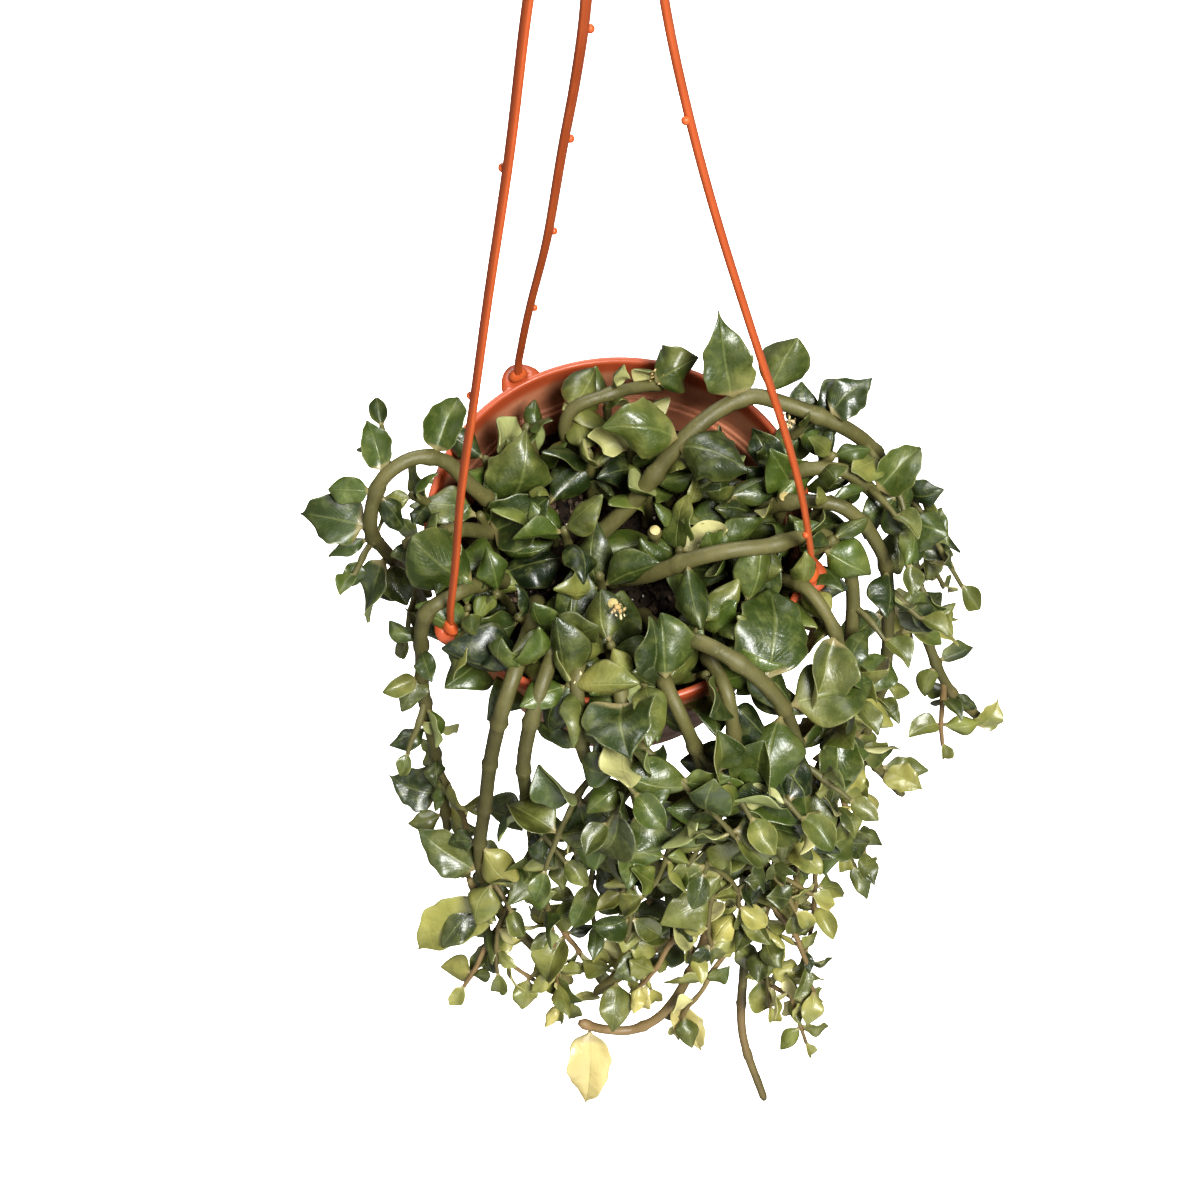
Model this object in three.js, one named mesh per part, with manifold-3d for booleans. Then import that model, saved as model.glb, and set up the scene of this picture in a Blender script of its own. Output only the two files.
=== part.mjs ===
// Potted parachute plant in a hanging pot.
// Millimetres, +Z up. The origin is the seat of the hanger's hook, on the axis of the pot.
// The front of the pot is towards -Y and +X is to the right.
import * as THREE from 'three';
import { mergeVertices } from 'three/addons/utils/BufferGeometryUtils.js';
import ManifoldModule from 'manifold-3d';

const manifoldApi = await ManifoldModule();
manifoldApi.setup();
const { Manifold, Mesh: ManifoldMesh } = manifoldApi;

// Driving dimensions.
const RIM_Z = -385;          // top of the pot's rim, below the hook's seat
const RIM_R = 65;            // outside radius of the rim
const LIP_WIDTH = 2.5;
const LIP_DROP = 5;
const COLLAR_DEPTH = 19;     // smooth band inside the rim
const LEDGE_WIDTH = 3.5;
const POT_H = 83;
const BASE_R = 50;
const WALL = 2;
const SOIL_DEPTH = 30;       // rim to soil
const GAP = 0.3;             // clearance between separate pieces that touch

const LUG_R = 66.4;          // radius of the slots in the three lugs
const LUG_ANGLES = { rear: 119, left: 212.4, right: 340.5 };
const LUG_THICK = 2.2;
const STRAP_WIDTH = 3.2;
const STRAP_THICK = 2.0;
const SLOT_WIDTH = 4.0;
const SLOT_DEPTH = 2.9;

const HUB_R = 10;
const HUB_TOP = -40;
const HUB_BOTTOM = -48;
const HOOK_R = 15.5;         // centre line of the hook's round
const HOOK_WIRE_R = 2.5;

const STEM_SIDES = 7;
const STEM_STEP = 12;        // length of one facet along a stem
const BLADE_THICK = 1.5;

const group = new THREE.Group();
group.name = 'potted_parachute_plant';

const MATERIALS = {
  pot_plastic: { color: 0xb5714f, roughness: 0.5 },
  hanger_plastic: { color: 0xc8613a, roughness: 0.45 },
  soil: { color: 0x17110c, roughness: 1.0 },
  stem: { color: 0x5d5f42, roughness: 0.65 },
  leaf: { color: 0x3f5530, roughness: 0.4 },
};

function addPart(name, slot, geometry) {
  const material = new THREE.MeshStandardMaterial(MATERIALS[slot]);
  material.name = slot;
  const mesh = new THREE.Mesh(geometry, material);
  mesh.name = name;
  group.add(mesh);
  return mesh;
}

function welded(geometry) {
  const plain = geometry.clone();
  for (const key of Object.keys(plain.attributes)) {
    if (key !== 'position') {
      plain.deleteAttribute(key);
    }
  }
  return mergeVertices(plain, 1e-3);
}

function toSolid(geometry) {
  const clean = welded(geometry);
  return new Manifold(new ManifoldMesh({
    numProp: 3,
    vertProperties: new Float32Array(clean.attributes.position.array),
    triVerts: new Uint32Array(clean.index.array),
  }));
}

function fromSolid(solid) {
  const mesh = solid.getMesh();
  const geometry = new THREE.BufferGeometry();
  geometry.setAttribute('position', new THREE.BufferAttribute(new Float32Array(mesh.vertProperties), 3));
  geometry.setIndex(new THREE.BufferAttribute(new Uint32Array(mesh.triVerts), 1));
  geometry.computeVertexNormals();
  return geometry;
}

// A turned solid. The profile is a closed outline of [radius, height] points, listed so that
// it starts and ends on the axis.
function turned(profile, segments) {
  const points = profile.map(([r, z]) => new THREE.Vector2(r, z));
  const geometry = new THREE.LatheGeometry(points, segments);
  geometry.rotateX(Math.PI / 2);
  return geometry;
}

function swept(curve, outline, steps) {
  return new THREE.ExtrudeGeometry(outline, {
    steps,
    bevelEnabled: false,
    extrudePath: curve,
  });
}

function roundOutline(radius, sides) {
  const points = [];
  for (let i = 0; i < sides; i += 1) {
    const a = (i / sides) * 2 * Math.PI;
    points.push(new THREE.Vector2(radius * Math.cos(a), radius * Math.sin(a)));
  }
  return new THREE.Shape(points);
}

function boxOutline(width, depth) {
  const w = width / 2;
  const d = depth / 2;
  return new THREE.Shape([
    new THREE.Vector2(-w, -d),
    new THREE.Vector2(w, -d),
    new THREE.Vector2(w, d),
    new THREE.Vector2(-w, d),
  ]);
}

function turnAboutAxis(solid, degrees) {
  return solid.rotate([0, 0, degrees]);
}

// ---------------------------------------------------------------- pot

const collarR = RIM_R - LIP_WIDTH;
const ledgeR = collarR - LEDGE_WIDTH;
const floorZ = -POT_H + 2.5;
const innerBaseR = BASE_R - WALL;

function innerWallR(z) {
  const t = (z + COLLAR_DEPTH) / (floorZ + COLLAR_DEPTH);
  return ledgeR + (innerBaseR - ledgeR) * t;
}

function makePot() {
  const profile = [
    [0, -POT_H],
    [BASE_R - 1.5, -POT_H],
    [BASE_R, -POT_H + 1.5],
    [RIM_R - 3, -COLLAR_DEPTH - 3],
    [RIM_R - 1, -COLLAR_DEPTH],
    [RIM_R - 0.6, -LIP_DROP],
    [RIM_R, -LIP_DROP + 0.6],
    [RIM_R, -0.8],
    [RIM_R - 0.8, 0],
    [collarR + 0.8, 0],
    [collarR, -0.8],
    [collarR - 0.6, -COLLAR_DEPTH],
    [ledgeR + 1.6, -COLLAR_DEPTH],
    [ledgeR + 1.2, -COLLAR_DEPTH - 0.9],
    [ledgeR + 0.2, -COLLAR_DEPTH - 0.9],
    [ledgeR - 0.3, -COLLAR_DEPTH - 2.5],
    [innerBaseR, floorZ],
    [0, floorZ],
  ];
  let pot = toSolid(turned(profile, 40));
  const slots = [];
  for (const angle of Object.values(LUG_ANGLES)) {
    const tabShape = new THREE.Shape([
      new THREE.Vector2(collarR + 1.2, -7.5),
      new THREE.Vector2(RIM_R + 2, -6.6),
      new THREE.Vector2(RIM_R + 4.8, -4.6),
      new THREE.Vector2(RIM_R + 6.4, -2.2),
      new THREE.Vector2(RIM_R + 6.8, 0),
      new THREE.Vector2(RIM_R + 6.4, 2.2),
      new THREE.Vector2(RIM_R + 4.8, 4.6),
      new THREE.Vector2(RIM_R + 2, 6.6),
      new THREE.Vector2(collarR + 1.2, 7.5),
    ]);
    const tab = new THREE.ExtrudeGeometry(tabShape, { depth: LUG_THICK, bevelEnabled: false });
    tab.translate(0, 0, -LUG_THICK);
    pot = pot.add(turnAboutAxis(toSolid(tab), angle));
    const slot = new THREE.BoxGeometry(SLOT_DEPTH, SLOT_WIDTH, 10);
    slot.translate(LUG_R, 0, 0);
    slots.push(turnAboutAxis(toSolid(slot), angle));
  }
  // Drainage holes: six round ones in a ring, closed above by the soil.
  for (let i = 0; i < 6; i += 1) {
    const hole = new THREE.CylinderGeometry(3.5, 3.5, 12, 12);
    hole.rotateX(Math.PI / 2);
    hole.translate(32, 0, -POT_H);
    slots.push(turnAboutAxis(toSolid(hole), i * 60 + 30));
  }
  for (const cut of slots) {
    pot = pot.subtract(cut);
  }
  const geometry = fromSolid(pot);
  geometry.translate(0, 0, RIM_Z);
  addPart('pot', 'pot_plastic', geometry);
}

// ---------------------------------------------------------------- hanger

// Shape of each arm, in the upright plane through the pot's axis: [radius, height above rim].
// The rear one hangs nearly straight and the other two bow outwards.
const ARM_TOP = [6.5, HUB_BOTTOM - RIM_Z - GAP];
const ARM_LINES = {
  left: [[LUG_R, -3], [LUG_R, 3], [60, 44], [55, 79], [46, 127], [38, 170], [28, 221], [20, 268], [11, 310], ARM_TOP],
  rear: [[LUG_R, -3], [LUG_R, 3], [60.5, 30], [53, 60], [37, 119], [25, 173], [15, 216], [9, 250], [7, 300], ARM_TOP],
  right: [[LUG_R, -3], [LUG_R, 3], [59.5, 50], [52, 85], [39, 136], [28, 180], [20, 216], [13, 255], [8, 300], ARM_TOP],
};

function makeArm(side) {
  const line = new THREE.CatmullRomCurve3(ARM_LINES[side].map(([r, z]) => new THREE.Vector3(r, 0, z)));
  const strap = toSolid(swept(line, boxOutline(STRAP_WIDTH, STRAP_THICK), 26));
  // The end is an arrow that springs open under the lug.
  const shoulder = -LUG_THICK - GAP;
  const arrowShape = new THREE.Shape([
    new THREE.Vector2(-3.4, shoulder),
    new THREE.Vector2(-1.3, shoulder - 10),
    new THREE.Vector2(1.3, shoulder - 10),
    new THREE.Vector2(3.4, shoulder),
  ]);
  const arrow = new THREE.ExtrudeGeometry(arrowShape, { depth: STRAP_THICK, bevelEnabled: false });
  arrow.translate(0, 0, -STRAP_THICK / 2);
  arrow.rotateX(Math.PI / 2);
  arrow.rotateZ(Math.PI / 2);
  arrow.translate(LUG_R, 0, 0);
  const arm = turnAboutAxis(strap.add(toSolid(arrow)), LUG_ANGLES[side]);
  const geometry = fromSolid(arm);
  geometry.translate(0, 0, RIM_Z);
  addPart(`hanger_arm_${side}`, 'hanger_plastic', geometry);
}

function makeHook() {
  const hub = toSolid(turned([
    [0, HUB_BOTTOM],
    [HUB_R - 1, HUB_BOTTOM],
    [HUB_R, HUB_BOTTOM + 1],
    [HUB_R, HUB_TOP - 2],
    [HUB_R - 3, HUB_TOP],
    [4.5, HUB_TOP + 3],
    [0, HUB_TOP + 3],
  ], 24));
  const centreZ = -(HOOK_R - HOOK_WIRE_R);
  const line = [
    new THREE.Vector3(0, 0, HUB_TOP - 3),
    new THREE.Vector3(0, 0, HUB_TOP + 4),
  ];
  for (const angle of [-62, -35, 0, 40, 90, 140, 180, 205]) {
    const a = THREE.MathUtils.degToRad(angle);
    line.push(new THREE.Vector3(HOOK_R * Math.cos(a), 0, centreZ + HOOK_R * Math.sin(a)));
  }
  line.push(new THREE.Vector3(-HOOK_R - 2, 0, centreZ - HOOK_R * 0.75));
  const wire = toSolid(swept(new THREE.CatmullRomCurve3(line), roundOutline(HOOK_WIRE_R, 10), 44));
  addPart('hanger_hook', 'hanger_plastic', fromSolid(hub.add(wire)));
}

// ---------------------------------------------------------------- soil

function makeSoil() {
  const top = -SOIL_DEPTH;
  const bottom = floorZ + GAP;
  const mound = [
    [0, bottom],
    [innerWallR(bottom) - GAP - 0.3, bottom],
    [innerWallR(top) - GAP - 0.6, top],
    [0, top],
  ];
  const geometry = turned(mound, 40);
  geometry.translate(0, 0, RIM_Z);
  addPart('soil', 'soil', geometry);
}

// ---------------------------------------------------------------- stems

// Each route is [x, y, height above the rim]. A rooted stem rises out of the soil first.
const STEMS = {
  diagonal: {
    radius: 3.1,
    route: [[-15, 0], [5, 10, -5], [25, 25, 15], [45, 35, 20], [60, 30, 20], [80, 25, 10], [95, 25, -20], [105, 25, -60]],
  },
  arch: {
    radius: 2.9,
    route: [[-5, -10], [10, -20, 2], [30, -21, 18], [50, -18, 16], [66, -11, 8], [77, -16, -12], [79, -30, -45],
      [80, -36, -80], [80, -45, -125]],
  },
  front: {
    radius: 2.9,
    route: [[5, -22], [15, -42, 2], [28, -53, 16], [44, -62, 6], [56, -68, -30], [60, -75, -75], [65, -80, -115]],
  },
  loop: {
    radius: 2.7,
    route: [[-35, 20], [-45, 10, 5], [-60, 15, 25], [-75, 8, 25], [-82, 0, 5], [-80, 5, -25], [-75, 12, -70], [-75, 20, -120]],
  },
  cut_left: {
    radius: 3.0,
    route: [[-38, 8], [-55, -5, 10], [-70, -12, 15]],
  },
  left: {
    radius: 2.6,
    route: [[-38, -8], [-50, -25, 7], [-62, -32, 8], [-68, -36, -25], [-70, -40, -70], [-70, -45, -115], [-70, -55, -150]],
  },
  front_left: {
    radius: 2.8,
    route: [[-28, -15], [-32, -45, 5], [-38, -62, 5], [-45, -68, -30], [-50, -72, -70], [-55, -80, -115],
      [-50, -90, -145], [-40, -95, -175], [-25, -105, -200]],
  },
  bend: {
    radius: 2.7,
    route: [[-18, -22], [-23, -50, 8], [-29, -66, 5], [-34, -74, -20], [-35, -75, -50], [-35, -75, -105], [-35, -85, -150]],
  },
  short_front: {
    radius: 2.7,
    route: [[-8, -20], [-15, -55, 8], [-15, -73, -10], [-10, -74, -45], [-5, -78, -85]],
  },
  middle: {
    radius: 2.7,
    route: [[-5, -32], [-2, -60, 6], [0, -76, -12], [5, -85, -60], [10, -90, -105], [20, -98, -130],
      [5, -105, -160], [-15, -112, -190]],
  },
  sling: {
    radius: 2.5,
    route: [[8, -35], [14, -65, 8], [22, -77, -12], [28, -80, -60], [30, -90, -120], [26, -102, -175],
      [10, -120, -202], [-5, -124, -208], [-22, -122, -198]],
  },
  low_tip: {
    radius: 2.4,
    route: [[18, -28], [31, -62, 8], [35, -77, -14], [40, -82, -60], [45, -87, -130], [45, -100, -195],
      [45, -120, -240], [55, -140, -280]],
  },
  right: {
    radius: 2.6,
    route: [[45, 20], [60, 12, 10], [75, 10, 12], [92, 5, -10], [105, 5, -50], [115, 0, -100], [130, -10, -140], [145, -15, -160]],
  },
  right_inner: {
    radius: 2.6,
    route: [[42, 8], [55, 2, 6], [72, -2, 11], [88, -8, -12], [94, -15, -50], [98, -20, -100], [95, -30, -145], [112, -40, -175]],
  },
  right_front: {
    radius: 2.3,
    route: [[45, -12], [60, -31, 9], [69, -43, -1], [72, -52, -50], [73, -62, -100], [75, -65, -140], [90, -70, -175]],
  },
  rear: {
    radius: 2.6,
    route: [[-8, 25], [-12, 32, -5], [-18, 36, 8], [0, 42, 14], [18, 50, 5]],
  },
};

const curves = {};

function stemCurve(name) {
  const { radius, route } = STEMS[name];
  const soilTop = -SOIL_DEPTH + GAP;
  const points = [];
  route.forEach(([x, y, z], i) => {
    if (i === 0 && z === undefined) {
      points.push(new THREE.Vector3(x, y, RIM_Z + soilTop));
      points.push(new THREE.Vector3(x, y, RIM_Z + soilTop + 1.5 * radius));
    } else {
      points.push(new THREE.Vector3(x, y, RIM_Z + z));
    }
  });
  return new THREE.CatmullRomCurve3(points);
}

function makeStems() {
  for (const name of Object.keys(STEMS)) {
    const curve = stemCurve(name);
    curves[name] = curve;
    const steps = Math.ceil(curve.getLength() / STEM_STEP);
    addPart(`stem_${name}`, 'stem', swept(curve, roundOutline(STEMS[name].radius, STEM_SIDES), steps));
  }
}

// ---------------------------------------------------------------- leaves

// A thick folded blade. It starts at the origin and grows along +X; its hollow side is up.
// Stations are [share of the length, share of the width, share of the droop].
const BLADE_STATIONS = [
  [0, 0.1, 0],
  [0.14, 0.16, 0.1],
  [0.3, 0.82, 0.05],
  [0.5, 1, 0],
  [0.72, 0.8, 0.15],
  [0.9, 0.4, 0.5],
  [1, 0.07, 1],
];

function bladeGeometry(length, width) {
  const fold = 0.16 * width;
  const droop = 0.1 * length;
  const rows = BLADE_STATIONS.map(([along, wide, drop]) => {
    const half = (wide * width) / 2;
    const rise = fold * wide;
    const z = -droop * drop;
    return [
      [along * length, -half, z + rise],
      [along * length, 0, z],
      [along * length, half, z + rise],
    ];
  });
  const positions = [];
  for (const side of [1, 0]) {
    for (const row of rows) {
      for (const [x, y, z] of row) {
        positions.push(x, y, z - (side ? 0 : BLADE_THICK));
      }
    }
  }
  const last = rows.length - 1;
  const top = (i, j) => i * 3 + j;
  const under = (i, j) => rows.length * 3 + i * 3 + j;
  const faces = [];
  const quad = (a, b, c, d) => faces.push(a, b, c, a, c, d);
  for (let i = 0; i < last; i += 1) {
    for (let j = 0; j < 2; j += 1) {
      quad(top(i, j), top(i + 1, j), top(i + 1, j + 1), top(i, j + 1));
      quad(under(i, j), under(i, j + 1), under(i + 1, j + 1), under(i + 1, j));
    }
    quad(top(i, 0), under(i, 0), under(i + 1, 0), top(i + 1, 0));
    quad(top(i, 2), top(i + 1, 2), under(i + 1, 2), under(i, 2));
  }
  for (let j = 0; j < 2; j += 1) {
    quad(top(0, j), top(0, j + 1), under(0, j + 1), under(0, j));
    quad(top(last, j), under(last, j), under(last, j + 1), top(last, j + 1));
  }
  const geometry = new THREE.BufferGeometry();
  geometry.setAttribute('position', new THREE.Float32BufferAttribute(positions, 3));
  geometry.setIndex(faces);
  geometry.computeVertexNormals();
  return geometry;
}

// Each leaf: stem it grows on, how far along the stem (0 to 1), from there to its tip,
// its width, and the way its upper side faces.
const UPWARD = [0, -0.35, 1];
const LEAVES = {
  broad: ['left', 0.16, [-20, 6, 24], 22, UPWARD],
  crown: ['loop', 0.07, [8, 12, 30], 23, [0.1, -1, 0.6]],
  saddle: ['diagonal', 0.32, [-28, 0, 8], 20, UPWARD],
  wing: ['diagonal', 0.28, [24, -14, 12], 19, UPWARD],
  folded: ['cut_left', 0.3, [20, 4, 18], 18, UPWARD],
  bract: ['middle', 0.2, [2, -24, 12], 24, UPWARD],
  shield: ['front', 0.42, [2, 36, 0], 25, UPWARD],
  spoon: ['sling', 0.15, [-1, 20, 13], 17, UPWARD],
  bud: ['arch', 0.22, [3, -24, 0], 11, UPWARD],
  back_left: ['rear', 0.5, [12, 18, 2], 15, [0, -0.5, 1]],
  back_right: ['rear', 0.9, [18, 8, 4], 17, [0, -0.5, 1]],
  dark: ['low_tip', 0.27, [20, -18, 0], 17, [0, -0.7, 1]],
  round: ['short_front', 0.8, [-4, -24, -14], 23, [0, -0.9, 0.8]],
  heart: ['middle', 0.38, [16, -14, -12], 20, [0, -1, 0.7]],
  side: ['front', 0.7, [-6, -24, -24], 19, [0.1, -1, 0.5]],
  pale: ['front_left', 0.75, [-31, -12, -24], 20, [-0.2, -0.7, 0.9]],
  tooth: ['left', 0.9, [-20, 7, 6], 17, [-0.3, -0.6, 1]],
  lance: ['front_left', 0.69, [-23, 14, 12], 17, [-0.3, -0.6, 1]],
  cream: ['sling', 0.99, [-2, -26, -30], 17, [0, -1, 0.6]],
  drop: ['sling', 0.84, [9, -18, -26], 12, [0, -1, 0.6]],
  left_tip: ['loop', 0.45, [-24, 8, -4], 17, [-0.1, -0.3, 1]],
  left_low: ['loop', 0.58, [-9, -18, -19], 13, [-0.8, -0.6, 0.5]],
  left_up: ['loop', 0.36, [-4, 18, 8], 10, [-0.2, -0.3, 1]],
  left_in: ['loop', 0.27, [8, 18, 6], 12, [-0.1, -0.3, 1]],
  top: ['diagonal', 0.42, [-6, 18, 26], 17, [-0.2, -0.8, 0.8]],
  oval: ['diagonal', 0.46, [12, 12, 16], 17, [0.1, -0.6, 1]],
  point: ['diagonal', 0.56, [18, 10, 6], 13, [0.1, -0.4, 1]],
  fan: ['right', 0.3, [16, 12, 8], 13, [0.3, -0.4, 1]],
  right_up: ['right', 0.38, [16, -8, 4], 15, [0.3, -0.4, 1]],
  right_mid: ['diagonal', 0.97, [14, -16, 8], 19, [0.5, -0.5, 0.8]],
  right_tip: ['right', 0.93, [16, -7, -8], 17, [0.3, -0.5, 0.9]],
  right_low: ['right_inner', 0.92, [16, -10, 2], 12, [0.5, -0.5, 0.8]],
  long: ['right_front', 0.25, [-8, -26, -12], 16, [0.1, -0.9, 0.8]],
  long_low: ['right_front', 0.48, [-2, -26, -16], 15, [0.2, -1, 0.6]],
};

function makeLeaves() {
  for (const [name, [stem, share, reach, width, facing]] of Object.entries(LEAVES)) {
    const curve = curves[stem];
    const root = curve.getPointAt(share);
    const along = curve.getTangentAt(share);
    const aim = new THREE.Vector3(...reach);
    const length = aim.length();
    const dir = aim.clone().normalize();
    // Start at the skin of the stem, in the direction square to the stem.
    const square = dir.clone().addScaledVector(along, -dir.dot(along)).normalize();
    const lean = Math.max(0.35, Math.sqrt(1 - dir.dot(along) ** 2));
    const start = (STEMS[stem].radius + GAP + 0.9) / lean;
    const across = new THREE.Vector3().crossVectors(new THREE.Vector3(...facing), dir).normalize();
    const up = new THREE.Vector3().crossVectors(dir, across).normalize();
    const geometry = bladeGeometry(length - start, width);
    geometry.translate(start, 0, BLADE_THICK / 2);
    geometry.applyMatrix4(new THREE.Matrix4().makeBasis(dir, across, up));
    geometry.translate(root.x, root.y, root.z);
    addPart(`leaf_${name}`, 'leaf', geometry);
  }
}

makePot();
makeHook();
for (const side of Object.keys(LUG_ANGLES)) {
  makeArm(side);
}
makeSoil();
makeStems();
makeLeaves();

export default group;
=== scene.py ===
"""Potted parachute plant in a terracotta-coloured hanging pot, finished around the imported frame."""

import math
import random

import bmesh
import bpy
from mathutils import kdtree, Matrix, Quaternion, Vector, noise


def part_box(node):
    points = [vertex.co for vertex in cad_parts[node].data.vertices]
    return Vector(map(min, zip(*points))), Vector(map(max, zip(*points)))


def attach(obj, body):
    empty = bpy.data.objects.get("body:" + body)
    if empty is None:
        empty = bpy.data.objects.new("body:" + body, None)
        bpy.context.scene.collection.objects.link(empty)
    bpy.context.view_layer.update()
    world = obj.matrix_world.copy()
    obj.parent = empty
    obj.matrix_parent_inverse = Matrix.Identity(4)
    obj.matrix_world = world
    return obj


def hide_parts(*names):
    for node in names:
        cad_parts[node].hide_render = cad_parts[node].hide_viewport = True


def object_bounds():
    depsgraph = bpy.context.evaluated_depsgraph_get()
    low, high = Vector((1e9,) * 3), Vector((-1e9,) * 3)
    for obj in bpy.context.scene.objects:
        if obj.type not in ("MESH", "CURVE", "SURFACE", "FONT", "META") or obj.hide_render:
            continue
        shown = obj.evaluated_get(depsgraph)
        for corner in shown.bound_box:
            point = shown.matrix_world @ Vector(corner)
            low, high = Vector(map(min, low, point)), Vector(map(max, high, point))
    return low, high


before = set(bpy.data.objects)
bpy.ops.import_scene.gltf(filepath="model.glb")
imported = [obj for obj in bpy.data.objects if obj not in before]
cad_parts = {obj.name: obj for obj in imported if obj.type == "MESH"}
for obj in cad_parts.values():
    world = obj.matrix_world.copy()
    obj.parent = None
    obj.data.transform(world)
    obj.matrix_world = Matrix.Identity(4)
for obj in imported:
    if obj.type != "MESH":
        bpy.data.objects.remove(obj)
CAD_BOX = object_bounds()
MM = 0.001
BODY = "root"
UP = Vector((0, 0, 1))

# ------------------------------------------------------------------ sizes taken from the frame

RIM_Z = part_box("pot")[1].z
BASE_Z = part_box("pot")[0].z
SOIL_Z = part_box("soil")[1].z
RIM_R = 65 * MM
BASE_R = 50 * MM
LUG_R = 66.4 * MM
LUG_ANGLES = {"rear": 119.0, "left": 212.4, "right": 340.5}


def spot(x, y, above_rim):
    """A place in the frame from millimetres right, back and above the rim."""
    return Vector((x * MM, y * MM, RIM_Z + above_rim * MM))


# ------------------------------------------------------------------ making pieces


def finish_piece(name, bm, material, replaced=(), smooth=True, subdivide=0):
    """Turns a bmesh into a piece of the object."""
    mesh = bpy.data.meshes.new(name)
    bm.to_mesh(mesh)
    bm.free()
    for poly in mesh.polygons:
        poly.use_smooth = smooth
    mesh.materials.append(material)
    piece = bpy.data.objects.new(name, mesh)
    bpy.context.scene.collection.objects.link(piece)
    if subdivide:
        rounding = piece.modifiers.new("rounding", "SUBSURF")
        rounding.levels = rounding.render_levels = subdivide
    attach(piece, BODY)
    if replaced:
        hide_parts(*replaced)
    return piece


def growing_bmesh():
    """A bmesh with the layers that the plant's materials read."""
    bm = bmesh.new()
    for layer in ("tone", "age", "upper"):
        bm.verts.layers.float.new(layer)
    bm.loops.layers.uv.new("growth")
    return bm


def smooth_step(low, high, value):
    t = min(1.0, max(0.0, (value - low) / (high - low)))
    return t * t * (3 - 2 * t)


# ------------------------------------------------------------------ node materials


class Surface:
    """A short way to wire up one node material."""

    def __init__(self, name):
        self.material = bpy.data.materials.new(name)
        self.material.use_nodes = True
        self.tree = self.material.node_tree
        self.shader = self.tree.nodes["Principled BSDF"]
        self.coords = self.add("ShaderNodeTexCoord").outputs["Object"]

    def add(self, kind, **settings):
        node = self.tree.nodes.new(kind)
        for key, value in settings.items():
            setattr(node, key, value)
        return node

    def join(self, source, target):
        self.tree.links.new(source, target)

    def feed(self, node, index, value):
        if isinstance(value, bpy.types.NodeSocket):
            self.join(value, node.inputs[index])
        else:
            node.inputs[index].default_value = value

    def noise(self, scale, detail=4.0, rough=0.55, distortion=0.0, stretch=None):
        node = self.add("ShaderNodeTexNoise")
        node.inputs["Scale"].default_value = scale
        node.inputs["Detail"].default_value = detail
        node.inputs["Roughness"].default_value = rough
        node.inputs["Distortion"].default_value = distortion
        source = self.coords
        if stretch:
            mapping = self.add("ShaderNodeMapping")
            mapping.inputs["Scale"].default_value = stretch
            self.join(self.coords, mapping.inputs["Vector"])
            source = mapping.outputs["Vector"]
        self.join(source, node.inputs["Vector"])
        return node.outputs["Fac"]

    def cells(self, scale, feature="F1"):
        node = self.add("ShaderNodeTexVoronoi", feature=feature)
        node.inputs["Scale"].default_value = scale
        self.join(self.coords, node.inputs["Vector"])
        return node.outputs["Distance"]

    def math(self, operation, a, b=0.0, clamp=False):
        node = self.add("ShaderNodeMath", operation=operation, use_clamp=clamp)
        self.feed(node, 0, a)
        self.feed(node, 1, b)
        return node.outputs[0]

    def spread(self, value, low, high, to_low=0.0, to_high=1.0):
        node = self.add("ShaderNodeMapRange", interpolation_type="SMOOTHSTEP")
        self.feed(node, 0, value)
        for index, number in enumerate((low, high, to_low, to_high), start=1):
            node.inputs[index].default_value = number
        return node.outputs[0]

    def mix(self, factor, a, b, blend="MIX"):
        node = self.add("ShaderNodeMix", data_type="RGBA", blend_type=blend)
        self.feed(node, 0, factor)
        self.feed(node, 6, a)
        self.feed(node, 7, b)
        return node.outputs[2]

    def attribute(self, name):
        return self.add("ShaderNodeAttribute", attribute_name=name).outputs["Fac"]

    def growth(self):
        """(along, across) of the piece's own map."""
        uv = self.add("ShaderNodeUVMap", uv_map="growth")
        split = self.add("ShaderNodeSeparateXYZ")
        self.join(uv.outputs["UV"], split.inputs[0])
        return split.outputs[0], split.outputs[1]

    def bump(self, height, strength, distance, before=None):
        node = self.add("ShaderNodeBump")
        node.inputs["Strength"].default_value = strength
        node.inputs["Distance"].default_value = distance
        self.join(height, node.inputs["Height"])
        if before is not None:
            self.join(before, node.inputs["Normal"])
        return node.outputs["Normal"]

    def done(self, colour, roughness, normal=None, **constants):
        self.feed(self.shader, "Base Color", colour)
        self.feed(self.shader, "Roughness", roughness)
        if normal is not None:
            self.join(normal, self.shader.inputs["Normal"])
        for key, value in constants.items():
            self.shader.inputs[key.replace("_", " ")].default_value = value
        return self.material


def srgb(r, g, b):
    """Linear colour from the 0 to 255 values of a paint chart."""
    return tuple(((c / 255 + 0.055) / 1.055) ** 2.4 if c > 10 else c / 3295 for c in (r, g, b)) + (1.0,)


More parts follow.
